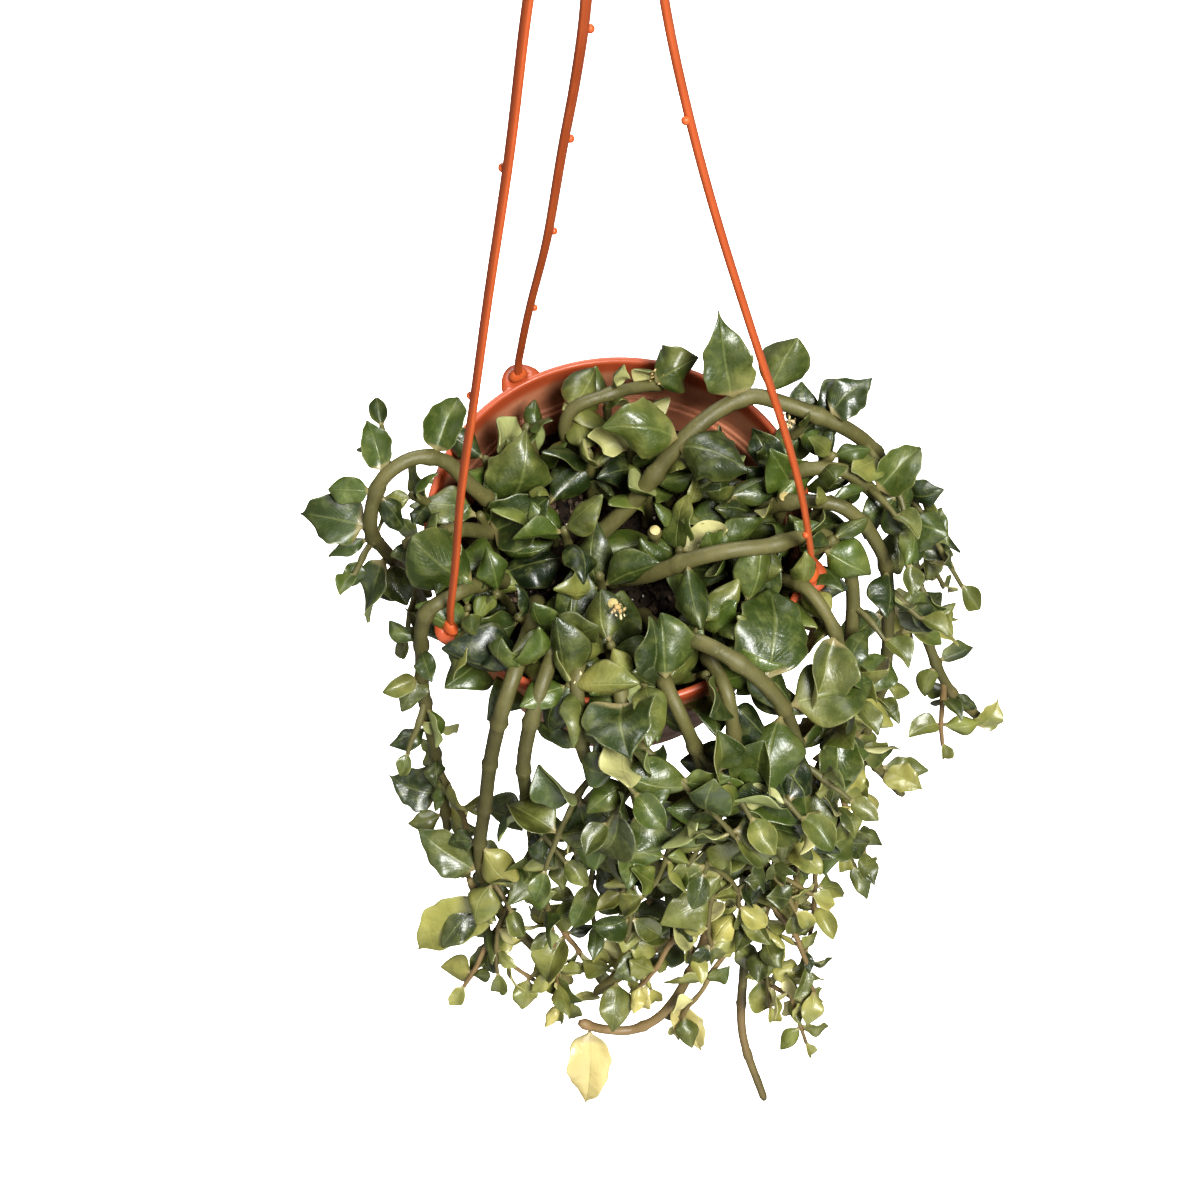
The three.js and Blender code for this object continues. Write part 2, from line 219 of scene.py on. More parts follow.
def make_pot_plastic():
    s = Surface("pot_plastic")
    split = s.add("ShaderNodeSeparateXYZ")
    s.join(s.coords, split.inputs[0])
    cloud = s.noise(38, 5, 0.6)
    colour = s.mix(cloud, srgb(138, 62, 34), srgb(168, 82, 48))
    # Painted shade darkens the inside of the wall. The outside of the wall is paler, partly dusty bloom and partly a
    # painted reflection of the white surroundings, and the lip keeps its strong colour.
    below_lip = s.spread(split.outputs[2], RIM_Z - 0.004, RIM_Z - 0.009)
    radius = s.math("SQRT", s.math("ADD", s.math("POWER", split.outputs[0], 2.0),
                                   s.math("POWER", split.outputs[1], 2.0)))
    wall = s.math("MULTIPLY", s.math("SUBTRACT", RIM_Z, split.outputs[2]), 0.19)
    outside = s.spread(s.math("ADD", radius, wall), RIM_R - 0.0040, RIM_R - 0.0020)
    # Mask of painted shade: the inside of the wall below the lip is darkened to stand for the shade in the pot.
    inner = s.math("MULTIPLY", below_lip, s.math("SUBTRACT", 1.0, outside))
    colour = s.mix(s.math("MULTIPLY", inner, 0.85), colour, srgb(98, 54, 30))
    # Partly real dusty bloom, partly a painted reflection of the white surroundings: the outside of the wall below the
    # lip is made paler.
    dust_and_painted_reflection = s.math("MULTIPLY", s.math("MULTIPLY", below_lip, outside),
                  s.spread(s.noise(60, 6, 0.7), 0.2, 0.7, 0.55, 0.95))
    colour = s.mix(dust_and_painted_reflection, colour, srgb(178, 126, 96))
    scuffs = s.spread(s.noise(140, 3, 0.5, stretch=(1, 1, 0.12)), 0.66, 0.76)
    colour = s.mix(s.math("MULTIPLY", scuffs, 0.2), colour, srgb(190, 140, 112))
    rough = s.spread(s.noise(90, 5, 0.6), 0.3, 0.75, 0.34, 0.55)
    fine = s.bump(s.noise(900, 3, 0.6), 0.12, 0.0004)
    return s.done(colour, rough, s.bump(cloud, 0.1, 0.002, fine), Specular_IOR_Level=0.45)


def make_hanger_plastic():
    s = Surface("hanger_plastic")
    cloud = s.noise(55, 4, 0.55)
    colour = s.mix(cloud, srgb(156, 72, 34), srgb(184, 92, 50))
    flow = s.spread(s.noise(260, 3, 0.5, stretch=(1, 1, 0.06)), 0.6, 0.75)
    colour = s.mix(s.math("MULTIPLY", flow, 0.18), colour, srgb(206, 118, 70))
    rough = s.spread(s.noise(120, 4, 0.6), 0.3, 0.7, 0.32, 0.5)
    return s.done(colour, rough, s.bump(s.noise(700, 3, 0.6), 0.1, 0.0004), Specular_IOR_Level=0.3)


def make_soil_material():
    s = Surface("potting_mix")
    crumbs = s.cells(420)
    colour = s.mix(s.spread(crumbs, 0.1, 0.6), srgb(16, 12, 9), srgb(52, 42, 33))
    fibre = s.spread(s.noise(300, 5, 0.7, 1.0, (1, 0.25, 1)), 0.6, 0.75)
    colour = s.mix(s.math("MULTIPLY", fibre, 0.5), colour, srgb(92, 72, 52))
    bump = s.bump(s.noise(520, 6, 0.75), 0.8, 0.0015)
    return s.done(colour, s.spread(crumbs, 0, 0.7, 0.75, 1.0), bump, Specular_IOR_Level=0.2)


def make_grit_material(name, dark, light):
    s = Surface(name)
    tint = s.spread(s.noise(95, 2, 0.5), 0.35, 0.65)
    colour = s.mix(tint, dark, light)
    speck = s.spread(s.noise(1400, 3, 0.6), 0.5, 0.7)
    colour = s.mix(s.math("MULTIPLY", speck, 0.3), colour, srgb(60, 50, 42))
    return s.done(colour, 0.9, s.bump(s.noise(1500, 4, 0.7), 0.5, 0.0005), Specular_IOR_Level=0.25)


def make_stem_material():
    s = Surface("stem_skin")
    age, tone = s.attribute("age"), s.attribute("tone")
    blotch = s.noise(110, 5, 0.6, stretch=(1, 1, 0.45))
    green = s.mix(blotch, srgb(44, 46, 24), srgb(104, 98, 58))
    brown = s.mix(blotch, srgb(98, 76, 50), srgb(150, 122, 86))
    # Only the old lower ends turn brown.
    split = s.add("ShaderNodeSeparateXYZ")
    s.join(s.coords, split.inputs[0])
    low = s.spread(split.outputs[2], RIM_Z - 0.08, RIM_Z - 0.17)
    colour = s.mix(s.math("MULTIPLY", s.spread(age, 0.3, 0.9), low), green, brown)
    colour = s.mix(s.math("MULTIPLY", tone, 0.3), colour, srgb(116, 112, 64))
    fleck = s.spread(s.noise(700, 4, 0.6, stretch=(1, 1, 0.5)), 0.62, 0.74)
    colour = s.mix(s.math("MULTIPLY", fleck, 0.25), colour, srgb(160, 150, 104))
    rough = s.spread(blotch, 0.3, 0.7, 0.42, 0.62)
    bump = s.bump(s.noise(420, 5, 0.65, stretch=(1, 1, 0.35)), 0.35, 0.0008)
    return s.done(colour, rough, bump, Specular_IOR_Level=0.4)


def make_leaf_material():
    s = Surface("leaf_skin")
    age, tone, upper = s.attribute("age"), s.attribute("tone"), s.attribute("upper")
    along, across = s.growth()
    side = s.math("ABSOLUTE", s.math("SUBTRACT", across, 0.5))
    cloud = s.noise(52, 4, 0.55, 0.4)
    fine = s.noise(210, 4, 0.6)
    dark = s.mix(tone, srgb(16, 28, 9), srgb(66, 80, 28))
    fresh = s.mix(tone, srgb(108, 114, 48), srgb(170, 160, 92))
    colour = s.mix(s.spread(s.math("ADD", age, s.math("MULTIPLY", s.math("SUBTRACT", cloud, 0.5), 1.1)),
                            0.2, 1.08), dark, fresh)
    colour = s.mix(s.math("MULTIPLY", s.spread(fine, 0.45, 0.72), 0.22), colour, srgb(130, 136, 70))
    # A pale midrib and faint side veins that lean towards the tip.
    rib = s.spread(side, 0.008, 0.04, 1.0, 0.0)
    colour = s.mix(s.spread(age, 0.86, 1.02), colour, s.mix(cloud, srgb(160, 146, 92), srgb(196, 180, 124)))
    colour = s.mix(s.math("MULTIPLY", rib, 0.2), colour, srgb(140, 144, 86))
    lean = s.math("SUBTRACT", s.math("MULTIPLY", along, 44.0), s.math("MULTIPLY", side, 42.0))
    vein = s.spread(s.math("ABSOLUTE", s.math("SINE", lean)), 0.0, 0.22, 1.0, 0.0)
    vein = s.math("MULTIPLY", vein, s.spread(side, 0.02, 0.42, 1.0, 0.0))
    colour = s.mix(s.math("MULTIPLY", vein, 0.1), colour, srgb(146, 158, 104))
    margin = s.spread(side, 0.44, 0.5)
    colour = s.mix(s.math("MULTIPLY", margin, 0.22), colour, srgb(150, 148, 96))
    under = s.mix(cloud, srgb(150, 150, 98), srgb(196, 186, 132))
    under = s.mix(s.spread(age, 0.1, 0.7, 0.75, 0.0), under, srgb(96, 112, 66))
    colour = s.mix(s.spread(upper, 0.35, 0.65), under, colour)
    stalk = s.spread(along, 0.1, 0.17, 1.0, 0.0)
    colour = s.mix(s.math("MULTIPLY", stalk, 0.7), colour, srgb(134, 122, 84))
    rough = s.spread(s.math("ADD", s.math("MULTIPLY", cloud, 0.6), s.math("MULTIPLY", fine, 0.4)), 0.3,
                     0.75, 0.3, 0.56)
    relief = s.bump(s.math("MAXIMUM", s.math("MULTIPLY", rib, 1.0), s.math("MULTIPLY", vein, 0.5)), 0.35,
                    -0.0006)
    relief = s.bump(fine, 0.45, 0.0012, s.bump(cloud, 0.5, 0.003, relief))
    return s.done(colour, rough, relief, Specular_IOR_Level=0.5, Coat_Weight=0.25, Coat_Roughness=0.3)


POT_PLASTIC = make_pot_plastic()
HANGER_PLASTIC = make_hanger_plastic()
POTTING_MIX = make_soil_material()
DARK_GRIT = make_grit_material("bark_grit", srgb(44, 34, 26), srgb(110, 92, 74))
PALE_GRIT = make_grit_material("pale_grit", srgb(168, 160, 146), srgb(226, 220, 206))
DRY_FLOWER = make_grit_material("dry_flower", srgb(168, 142, 96), srgb(226, 210, 170))
CUT_END = make_grit_material("cut_end", srgb(150, 136, 88), srgb(196, 182, 132))
STEM_SKIN = make_stem_material()
LEAF_SKIN = make_leaf_material()

# ------------------------------------------------------------------ pot


def turned(bm, profile, steps):
    """Spins an outline of (radius, height) points right round the pot's axis."""
    verts = [bm.verts.new((r, 0, z)) for r, z in profile]
    edges = [bm.edges.new(pair) for pair in zip(verts, verts[1:])]
    bmesh.ops.spin(bm, geom=verts + edges, cent=(0, 0, 0), axis=(0, 0, 1), dvec=(0, 0, 0),
                   angle=2 * math.pi, steps=steps, use_merge=True, use_duplicate=False)
    bmesh.ops.remove_doubles(bm, verts=bm.verts, dist=1e-6)
    bmesh.ops.dissolve_degenerate(bm, dist=1e-7, edges=bm.edges)


def round_corners(profile, radius, steps=3):
    """Softens each inner corner of an outline."""
    out = [profile[0]]
    for before, corner, after in zip(profile, profile[1:], profile[2:]):
        a, c, b = Vector(before), Vector(corner), Vector(after)
        reach = min(radius, (a - c).length * 0.45, (b - c).length * 0.45)
        start, end = c + (a - c).normalized() * reach, c + (b - c).normalized() * reach
        for i in range(steps + 1):
            t = i / steps
            p = start * (1 - t) ** 2 + c * 2 * t * (1 - t) + end * t * t
            out.append((p.x, p.y))
    out.append(profile[-1])
    return out


def make_pot():
    lip, ledge = RIM_R - 2.5 * MM, RIM_R - 6 * MM
    floor = BASE_Z + 2.5 * MM
    top = RIM_Z

    def at(r, drop):
        return (r, top - drop * MM)

    profile = [
        (3 * MM, BASE_Z + 1.2 * MM), (BASE_R - 8 * MM, BASE_Z + 1.2 * MM), (BASE_R - 7 * MM, BASE_Z),
        (BASE_R - 1 * MM, BASE_Z), (BASE_R, BASE_Z + 1.5 * MM), at(RIM_R - 3.1 * MM, 22),
        at(RIM_R - 1.9 * MM, 20.6),
        at(RIM_R - 1.0 * MM, 19.4), at(RIM_R - 0.6 * MM, 5.4), at(RIM_R, 4.6), at(RIM_R + 0.1 * MM,
                                                                                  2.4), at(RIM_R - 0.2 * MM, 0.3),
        at(RIM_R - 1.0 * MM, 0), at(lip + 0.5 * MM, 0), at(lip - 0.1 * MM, 0.8), at(lip - 0.6 * MM, 17.6),
        at(ledge + 2.6 * MM, 18.8), at(ledge + 2.2 * MM, 20.2), at(ledge + 1.2 * MM,
                                                                   20.0), at(ledge + 0.7 * MM, 21.6),
        at(ledge - 0.3 * MM, 21.4), at(ledge - 0.8 * MM, 23.4), (BASE_R - 2 * MM, floor), (3 * MM, floor),
    ]
    bm = bmesh.new()
    turned(bm, round_corners([(x, z) for x, z in profile], 0.7 * MM) + [(3 * MM, BASE_Z + 1.2 * MM)], 144)
    for angle in LUG_ANGLES.values():
        add_lug(bm, angle)
    bmesh.ops.recalc_face_normals(bm, faces=bm.faces)
    finish_piece("hanging_pot", bm, POT_PLASTIC, ("pot",))


def add_lug(bm, angle):
    """A rounded tab on the rim with a slot for the arm's end, and the clip pad under it."""
    outer = [(63.2, -7.4), (66.0, -7.0), (68.6, -5.4), (70.4, -3.6), (71.4, -1.6), (71.7, 0)]
    outer = outer + [(r, -w) for r, w in reversed(outer[:-1])]
    rows = 11
    inner = []
    for i in range(rows):
        t = -1 + 2 * i / (rows - 1)
        w = 2.0 * max(-1, min(1, 1.5 * t))
        r = 66.4 - 1.45 + 2.9 * smooth_step(-1, 0.0, -abs(t)) if abs(t) < 1 else 66.4 - 1.45
        inner.append((r, w))
    turn = Matrix.Rotation(math.radians(angle), 4, "Z")
    top = []
    for ring in (outer, inner):
        verts = [bm.verts.new(turn @ Vector((r * MM, w * MM, RIM_Z - 0.1 * MM))) for r, w in ring]
        edges = [bm.edges.new((verts[i], verts[(i + 1) % len(verts)])) for i in range(len(verts))]
        top.append(edges)
    made = bmesh.ops.bridge_loops(bm, edges=top[0] + top[1])
    faces = made["faces"]
    grown = bmesh.ops.extrude_face_region(bm, geom=faces, use_keep_orig=True)
    down = [g for g in grown["geom"] if isinstance(g, bmesh.types.BMVert)]
    bmesh.ops.translate(bm, verts=down, vec=(0, 0, -2.2 * MM))


# ------------------------------------------------------------------ hanger


def slice_centre(node, z):
    """Middle of the cut that a level plane makes through an upright node."""
    found = []
    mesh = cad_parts[node].data
    for a, b in ((mesh.vertices[e.vertices[0]].co, mesh.vertices[e.vertices[1]].co) for e in mesh.edges):
        if (a.z - z) * (b.z - z) < 0:
            found.append(a.lerp(b, (z - a.z) / (b.z - a.z)))
    low = [min(p[k] for p in found) for k in range(3)]
    high = [max(p[k] for p in found) for k in range(3)]
    return (Vector(low) + Vector(high)) / 2


def along_path(points, spacing):
    """Evenly spaced points on a smooth curve through the given ones."""
    padded = [points[0] * 2 - points[1]] + list(points) + [points[-1] * 2 - points[-2]]
    dense = []
    for p0, p1, p2, p3 in zip(padded, padded[1:], padded[2:], padded[3:]):
        for i in range(12):
            t = i / 12
            dense.append(0.5 * (2 * p1 + (p2 - p0) * t + (2 * p0 - 5 * p1 + 4 * p2 - p3) * t * t
                                + (3 * p1 - p0 - 3 * p2 + p3) * t ** 3))
    dense.append(points[-1].copy())
    total = sum((b - a).length for a, b in zip(dense, dense[1:]))
    count = max(2, round(total / spacing))
    step, out, need = total / count, [dense[0]], total / count
    walked = 0.0
    for a, b in zip(dense, dense[1:]):
        gap = (b - a).length
        while walked + gap >= need - 1e-9 and len(out) < count:
            out.append(a.lerp(b, (need - walked) / gap))
            need += step
        walked += gap
    out.append(dense[-1])
    return out, total


def sweep(bm, path, outline, sizes, sideways=None):
    """Carries an outline along a path by extruding its rim again and again, then closes the end."""
    tangents = [(path[min(i + 1, len(path) - 1)] - path[max(i - 1,
                                                            0)]).normalized() for i in range(len(path))]
    side = sideways or tangents[0].orthogonal()
    side = (side - tangents[0] * side.dot(tangents[0])).normalized()
    frames = []
    for i, tangent in enumerate(tangents):
        if i:
            side = tangents[i - 1].rotation_difference(tangent) @ side
            side = (side - tangent * side.dot(tangent)).normalized()
        other = tangent.cross(side)
        turn = Matrix((side, other, tangent)).transposed().to_4x4()
        frames.append(Matrix.Translation(path[i]) @ turn @ Matrix.Diagonal((sizes[i], sizes[i], sizes[i],
                                                                            1)))
    verts = [bm.verts.new(frames[0] @ Vector((x, y, 0))) for x, y in outline]
    bm.faces.new(list(reversed(verts)))
    loop = verts
    for before, after in zip(frames, frames[1:]):
        edges = [bm.edges.get((loop[i], loop[(i + 1) % len(loop)])) for i in range(len(loop))]
        grown = bmesh.ops.extrude_edge_only(bm, edges=edges)
        ring = [g for g in grown["geom"] if isinstance(g, bmesh.types.BMVert)]
        follow = {tuple(round(c, 9) for c in v.co): v for v in ring}
        loop = [follow[tuple(round(c, 9) for c in v.co)] for v in loop]
        bmesh.ops.transform(bm, matrix=after @ before.inverted(), verts=ring)
    bm.faces.new(loop)
    return frames


def round_outline(sides):
    return [(math.cos(2 * math.pi * i / sides), math.sin(2 * math.pi * i / sides)) for i in range(sides)]


STRAP_OUTLINE = [(-1.6, -0.7), (-1.3, -1.0), (1.3, -1.0), (1.6, -0.7), (1.6, 0.45), (1.25, 0.75),
                 (0.45, 0.8),
                 (0.2, 1.15), (-0.2, 1.15), (-0.45, 0.8), (-1.25, 0.75), (-1.6, 0.45)]


def make_arm(side, nub_heights):
    node = f"hanger_arm_{side}"
    _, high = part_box(node)
    start = RIM_Z + 1.0 * MM
    heights = [start + (high.z - 0.4 * MM - start) * i / 30 for i in range(31)]
    heights[-1] = high.z - 0.3 * MM
    line = [slice_centre(node, z) for z in heights]
    turn = math.radians(LUG_ANGLES[side])
    slot_place = Vector((LUG_R * math.cos(turn), LUG_R * math.sin(turn), 0))
    line = [Vector((slot_place.x, slot_place.y, RIM_Z - 3.0 * MM))] + line + [line[-1] + Vector((0, 0,
                                                                                                 1.5 * MM))]
    path, _ = along_path(line, 4 * MM)
    across = Vector((-math.sin(turn), math.cos(turn), 0))
    bm = bmesh.new()
    sweep(bm, path, STRAP_OUTLINE, [0.84 * MM] * len(path), across)
    # Barbed end below the lug: an arrow with two prongs.
    outward = Vector((math.cos(turn), math.sin(turn), 0))
    top = RIM_Z - 2.6 * MM
    for sign in (-1, 1):
        prong = [
            Vector((slot_place.x, slot_place.y, top)) + across * sign * a * MM + Vector((0, 0, -d * MM))
            for a, d in ((0.9, 0.0), (3.0, 0.5), (2.7, 3.5), (1.5, 8.5), (1.1, 10.0))
        ]
        sizes = [0.9 * MM, 1.1 * MM, 1.1 * MM, 0.9 * MM, 0.55 * MM]
        sweep(bm, prong, [(x * 0.8, y) for x, y in round_outline(8)], sizes, outward)
    collar = [slot_place + Vector((0, 0, RIM_Z + z * MM)) for z in (0.15, 0.9, 2.2, 3.4, 4.4)]
    sweep(bm, collar, [(x * 1.5, y) for x, y in round_outline(14)],
          [s * MM for s in (2.0, 2.35, 2.2, 1.5, 1.0)], across)
    for height in nub_heights:
        place = slice_centre(node, RIM_Z + height * MM)
        nub = bmesh.ops.create_icosphere(bm, subdivisions=2, radius=1.15 * MM)["verts"]
        bmesh.ops.translate(bm, verts=nub, vec=place - across * 1.9 * MM)
    bmesh.ops.recalc_face_normals(bm, faces=bm.faces)
    finish_piece(f"arm_{side}", bm, HANGER_PLASTIC, (node,))


def make_hook():
    low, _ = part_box("hanger_hook")
    bm = bmesh.new()
    foot = low.z
    hub = [(0.0005, foot), (8.6 * MM, foot), (9.6 * MM, foot + 1.0 * MM), (10 * MM, foot + 2.2 * MM),
           (10 * MM, foot + 5.4 * MM),
           (9.4 * MM, foot + 6.6 * MM), (7.0 * MM, foot + 8.0 * MM), (4.6 * MM, foot + 9.4 * MM),
           (3.2 * MM, foot + 11.5 * MM),
           (0.0005, foot + 12 * MM)]
    turned(bm, round_corners(hub, 0.6 * MM) + [hub[0]], 64)
    wire, radius = 2.5, 15.5
    centre = -(radius - wire)
    line = [Vector((0, 0, -43)), Vector((0, 0, -36))]
    for angle in (-62, -35, 0, 40, 90, 140, 180, 205):
        a = math.radians(angle)
        line.append(Vector((radius * math.cos(a), 0, centre + radius * math.sin(a))))
    line.append(Vector((-radius - 2, 0, centre - radius * 0.75)))
    path, _ = along_path([p * MM for p in line], 2 * MM)
    sizes = [MM] * len(path)
    sizes[-1] = 0.55 * MM
    sizes[-2] = 0.85 * MM
    outline = [(x * 2.35, y * 2.5 * (1.0 if abs(y) < 0.7 else 0.94)) for x, y in round_outline(16)]
    sweep(bm, path, outline, sizes, Vector((0, 1, 0)))
    bmesh.ops.recalc_face_normals(bm, faces=bm.faces)
    finish_piece("hook_and_hub", bm, HANGER_PLASTIC, ("hanger_hook",))


# ------------------------------------------------------------------ soil


def soil_height(x, y):
    """Lumpy surface of the mix, a little higher in the middle."""
    r = math.hypot(x, y)
    lump = noise.noise(Vector((x * 95, y * 95, 3.1))) * 1.6 + noise.noise(Vector((x * 260, y * 260,
                                                                                  8.2))) * 0.9
    return SOIL_Z + (lump - 0.6 + 1.6 * (1 - (r / 0.056) ** 2)) * MM


def make_soil():
    rng = random.Random(5)
    bm = bmesh.new()
    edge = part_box("soil")[1].x
    bmesh.ops.create_circle(bm, cap_ends=True, segments=72, radius=edge + 0.2 * MM)
    for _ in range(22):
        inner = [f for f in bm.faces if len(f.verts) > 4]
        bmesh.ops.inset_region(bm, faces=inner, thickness=edge / 23, use_even_offset=True)
    walls = bmesh.ops.extrude_face_region(bm, geom=bm.faces[:], use_keep_orig=True)
    bottom = [g for g in walls["geom"] if isinstance(g, bmesh.types.BMVert)]
    low = set(bottom)
    for v in bm.verts:
        if v in low:
            v.co = Vector((v.co.x * 0.83, v.co.y * 0.83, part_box("soil")[0].z))
        else:
            v.co.z = soil_height(v.co.x, v.co.y)
    bmesh.ops.recalc_face_normals(bm, faces=bm.faces)
    finish_piece("potting_mix", bm, POTTING_MIX, ("soil",))
    for name, material, count, sizes in (("bark_crumbs", DARK_GRIT, 900, (0.5, 2.0)),
                                         ("pale_grit", PALE_GRIT, 130, (0.35, 1.1))):
        bm = bmesh.new()
        for _ in range(count):
            r, a = math.sqrt(rng.random()) * (edge - 1.2 * MM), rng.uniform(0, 2 * math.pi)
            place = Vector((r * math.cos(a), r * math.sin(a), 0))
            place.z = soil_height(place.x, place.y) + 0.2 * MM
            size = rng.uniform(*sizes) * MM
            shape = Matrix.Translation(place) @ Quaternion((rng.random(), rng.random(), rng.random(),
                                                            rng.random())).normalized().to_matrix().to_4x4()
            shape = shape @ Matrix.Diagonal((size, size * rng.uniform(0.5, 1),
                                             size * rng.uniform(0.35, 0.8), 1))
            bmesh.ops.create_icosphere(bm, subdivisions=1, radius=1, matrix=shape)
        finish_piece(name, bm, material, smooth=False)


# ------------------------------------------------------------------ stems


def stem_line(node):
    """Centre line of a stem, from its root up, read from the rings of its solid in the frame."""
    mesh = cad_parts[node].data
    where, index = [], {}
    links = {}
    for poly in mesh.polygons:
        ids = []
        for v in poly.vertices:
            key = tuple(round(c, 5) for c in mesh.vertices[v].co)
            if key not in index:
                index[key] = len(where)
                where.append(mesh.vertices[v].co.copy())
                links[index[key]] = set()
            ids.append(index[key])
        for a in ids:
            links[a].update(b for b in ids if b != a)
    root_z = SOIL_Z + 0.3 * MM
    ring = [i for i, p in enumerate(where) if abs(p.z - root_z) < 0.06 * MM and math.hypot(p.x,
                                                                                           p.y) < 0.056]
    seen, centres = set(ring), []
    while ring:
        centres.append(sum((where[i] for i in ring), Vector()) / len(ring))
        ring = sorted({j for i in ring for j in links[i]} - seen)
        seen.update(ring)
    return centres


class Stem:
    """One stem: its centre line, thickness and joints."""

    def __init__(self, name, line, radius, age, taper=0.25, joint=28, first=14, seed=1):
        self.name, self.radius, self.age, self.taper = name, radius, age, taper
        self.path, self.length = along_path(line, 2.2 * MM)
        self.rng = random.Random(seed)
        self.joints = []
        s = first * MM
        while s < self.length - 3 * MM:
            self.joints.append(s)
            s += joint * self.rng.uniform(0.8, 1.25) * MM

    def at(self, s):
        """(place, direction) at a distance along the stem."""
        i = min(len(self.path) - 2, max(0, s / self.length * (len(self.path) - 1)))
        k = int(i)
        a, b = self.path[k], self.path[min(k + 1, len(self.path) - 1)]
        ahead = self.path[min(k + 3, len(self.path) - 1)] - self.path[max(k - 2, 0)]
        return a.lerp(b, i - k), ahead.normalized()

    def girth(self, s):
        body = self.radius * (1 - self.taper * s / self.length)
        swell = sum(math.exp(-((s - j) / (1.9 * MM)) ** 2) for j in self.joints)
        return body * (1 + 0.27 * min(1,
                                      swell)) * (1 + 0.05 * noise.noise(Vector((s * 180, self.radius * 9e3,
                                                                                1))))

    def build(self, bm, sides=10, tone=0.3):
        first = len(bm.verts)
        step = self.length / (len(self.path) - 1)
        sizes = [self.girth(i * step) for i in range(len(self.path))]
        sizes[-1] *= 0.7
        sweep(bm, self.path, round_outline(sides), sizes)
        bm.verts.ensure_lookup_table()
        tone_layer, age_layer = bm.verts.layers.float["tone"], bm.verts.layers.float["age"]
        for v in bm.verts[first:]:
            near = noise.noise(v.co * 60)
            v[tone_layer] = min(1, max(0, tone + 0.5 * near))
            v[age_layer] = min(1, max(0, self.age + 0.35 * noise.noise(v.co * 25 + Vector((4, 4, 4)))))


# thickness in millimetres, how brown it is, spacing of its joints
STEM_HABITS = {
    "stem_diagonal": (3.1, 0.15, 33), "stem_arch": (2.9, 0.45, 38), "stem_front": (2.9, 0.1, 30),
    "stem_loop": (2.7, 0.35, 26),
    "stem_cut_left": (3.0, 0.35, 30), "stem_left": (2.6, 0.2, 24), "stem_front_left": (2.8, 0.3, 30),
    "stem_bend": (2.7, 0.1, 30),
    "stem_short_front": (2.7, 0.1, 22), "stem_middle": (2.7, 0.4, 28), "stem_sling": (2.5, 0.75, 30),
    "stem_low_tip": (2.4, 0.55, 30),
    "stem_right": (2.6, 0.35, 25), "stem_right_inner": (2.6, 0.3, 25), "stem_right_front": (2.3, 0.3, 24),
    "stem_rear": (2.6, 0.2, 22),
}


def make_stems():
    stems = {}
    for number, (node, (radius, age, joint)) in enumerate(STEM_HABITS.items()):
        stem = Stem(node, stem_line(node), radius * MM, age, joint=joint, seed=40 + number)
        stems[node] = stem
        bm = growing_bmesh()
        stem.build(bm)
        bmesh.ops.recalc_face_normals(bm, faces=bm.faces)
        finish_piece(node.replace("stem_", "vine_"), bm, STEM_SKIN, (node,))
    return stems


# ------------------------------------------------------------------ leaves


def leaf_block(name, rows, columns):
    """A thin closed slab whose corners run from -1 to 1: every leaf is this slab, shaped."""
    bm = growing_bmesh()
    bmesh.ops.create_grid(bm, x_segments=rows, y_segments=columns, size=1)
    uv = bm.loops.layers.uv["growth"]
    bmesh.ops.solidify(bm, geom=bm.faces[:], thickness=0.1)
    upper = bm.verts.layers.float["upper"]
    middle = sum(v.co.z for v in bm.verts) / len(bm.verts)
    for v in bm.verts:
        v[upper] = 1.0 if v.co.z > middle else 0.0
        v.co.z = 1.0 if v.co.z > middle else -1.0
    for face in bm.faces:
        for loop in face.loops:
            loop[uv].uv = ((loop.vert.co.x + 1) / 2, (loop.vert.co.y + 1) / 2)
    bmesh.ops.recalc_face_normals(bm, faces=bm.faces)
    mesh = bpy.data.meshes.new(name)
    bm.to_mesh(mesh)
    bm.free()
    return mesh


# fold: + is a V, - is a dome. bend: how far the tip turns down. wave and teeth: uneven margin.
# point: 0 is a round tip, 1 a sharp one. heart: where the leaf is widest. curl: margins rolled under.
LEAF_KINDS = {
    "spade": dict(fold=0.22, bend=0.9, wave=0.30, teeth=0.06, point=1.0, heart=0.66, curl=0.25),
    "spoon": dict(fold=-0.55, bend=0.8, wave=0.08, teeth=0.02, point=0.35, heart=0.84, curl=0.35),
    "boat": dict(fold=0.75, bend=0.7, wave=0.22, teeth=0.05, point=0.9, heart=0.74, curl=0.0),
    "curl": dict(fold=-0.4, bend=1.5, wave=0.34, teeth=0.06, point=0.8, heart=0.66, curl=0.45),
    "trowel": dict(fold=0.35, bend=0.8, wave=0.26, teeth=0.06, point=1.7, heart=0.54, curl=0.1),
    "heart": dict(fold=-0.25, bend=1.1, wave=0.22, teeth=0.05, point=0.75, heart=0.6, curl=0.4),
}


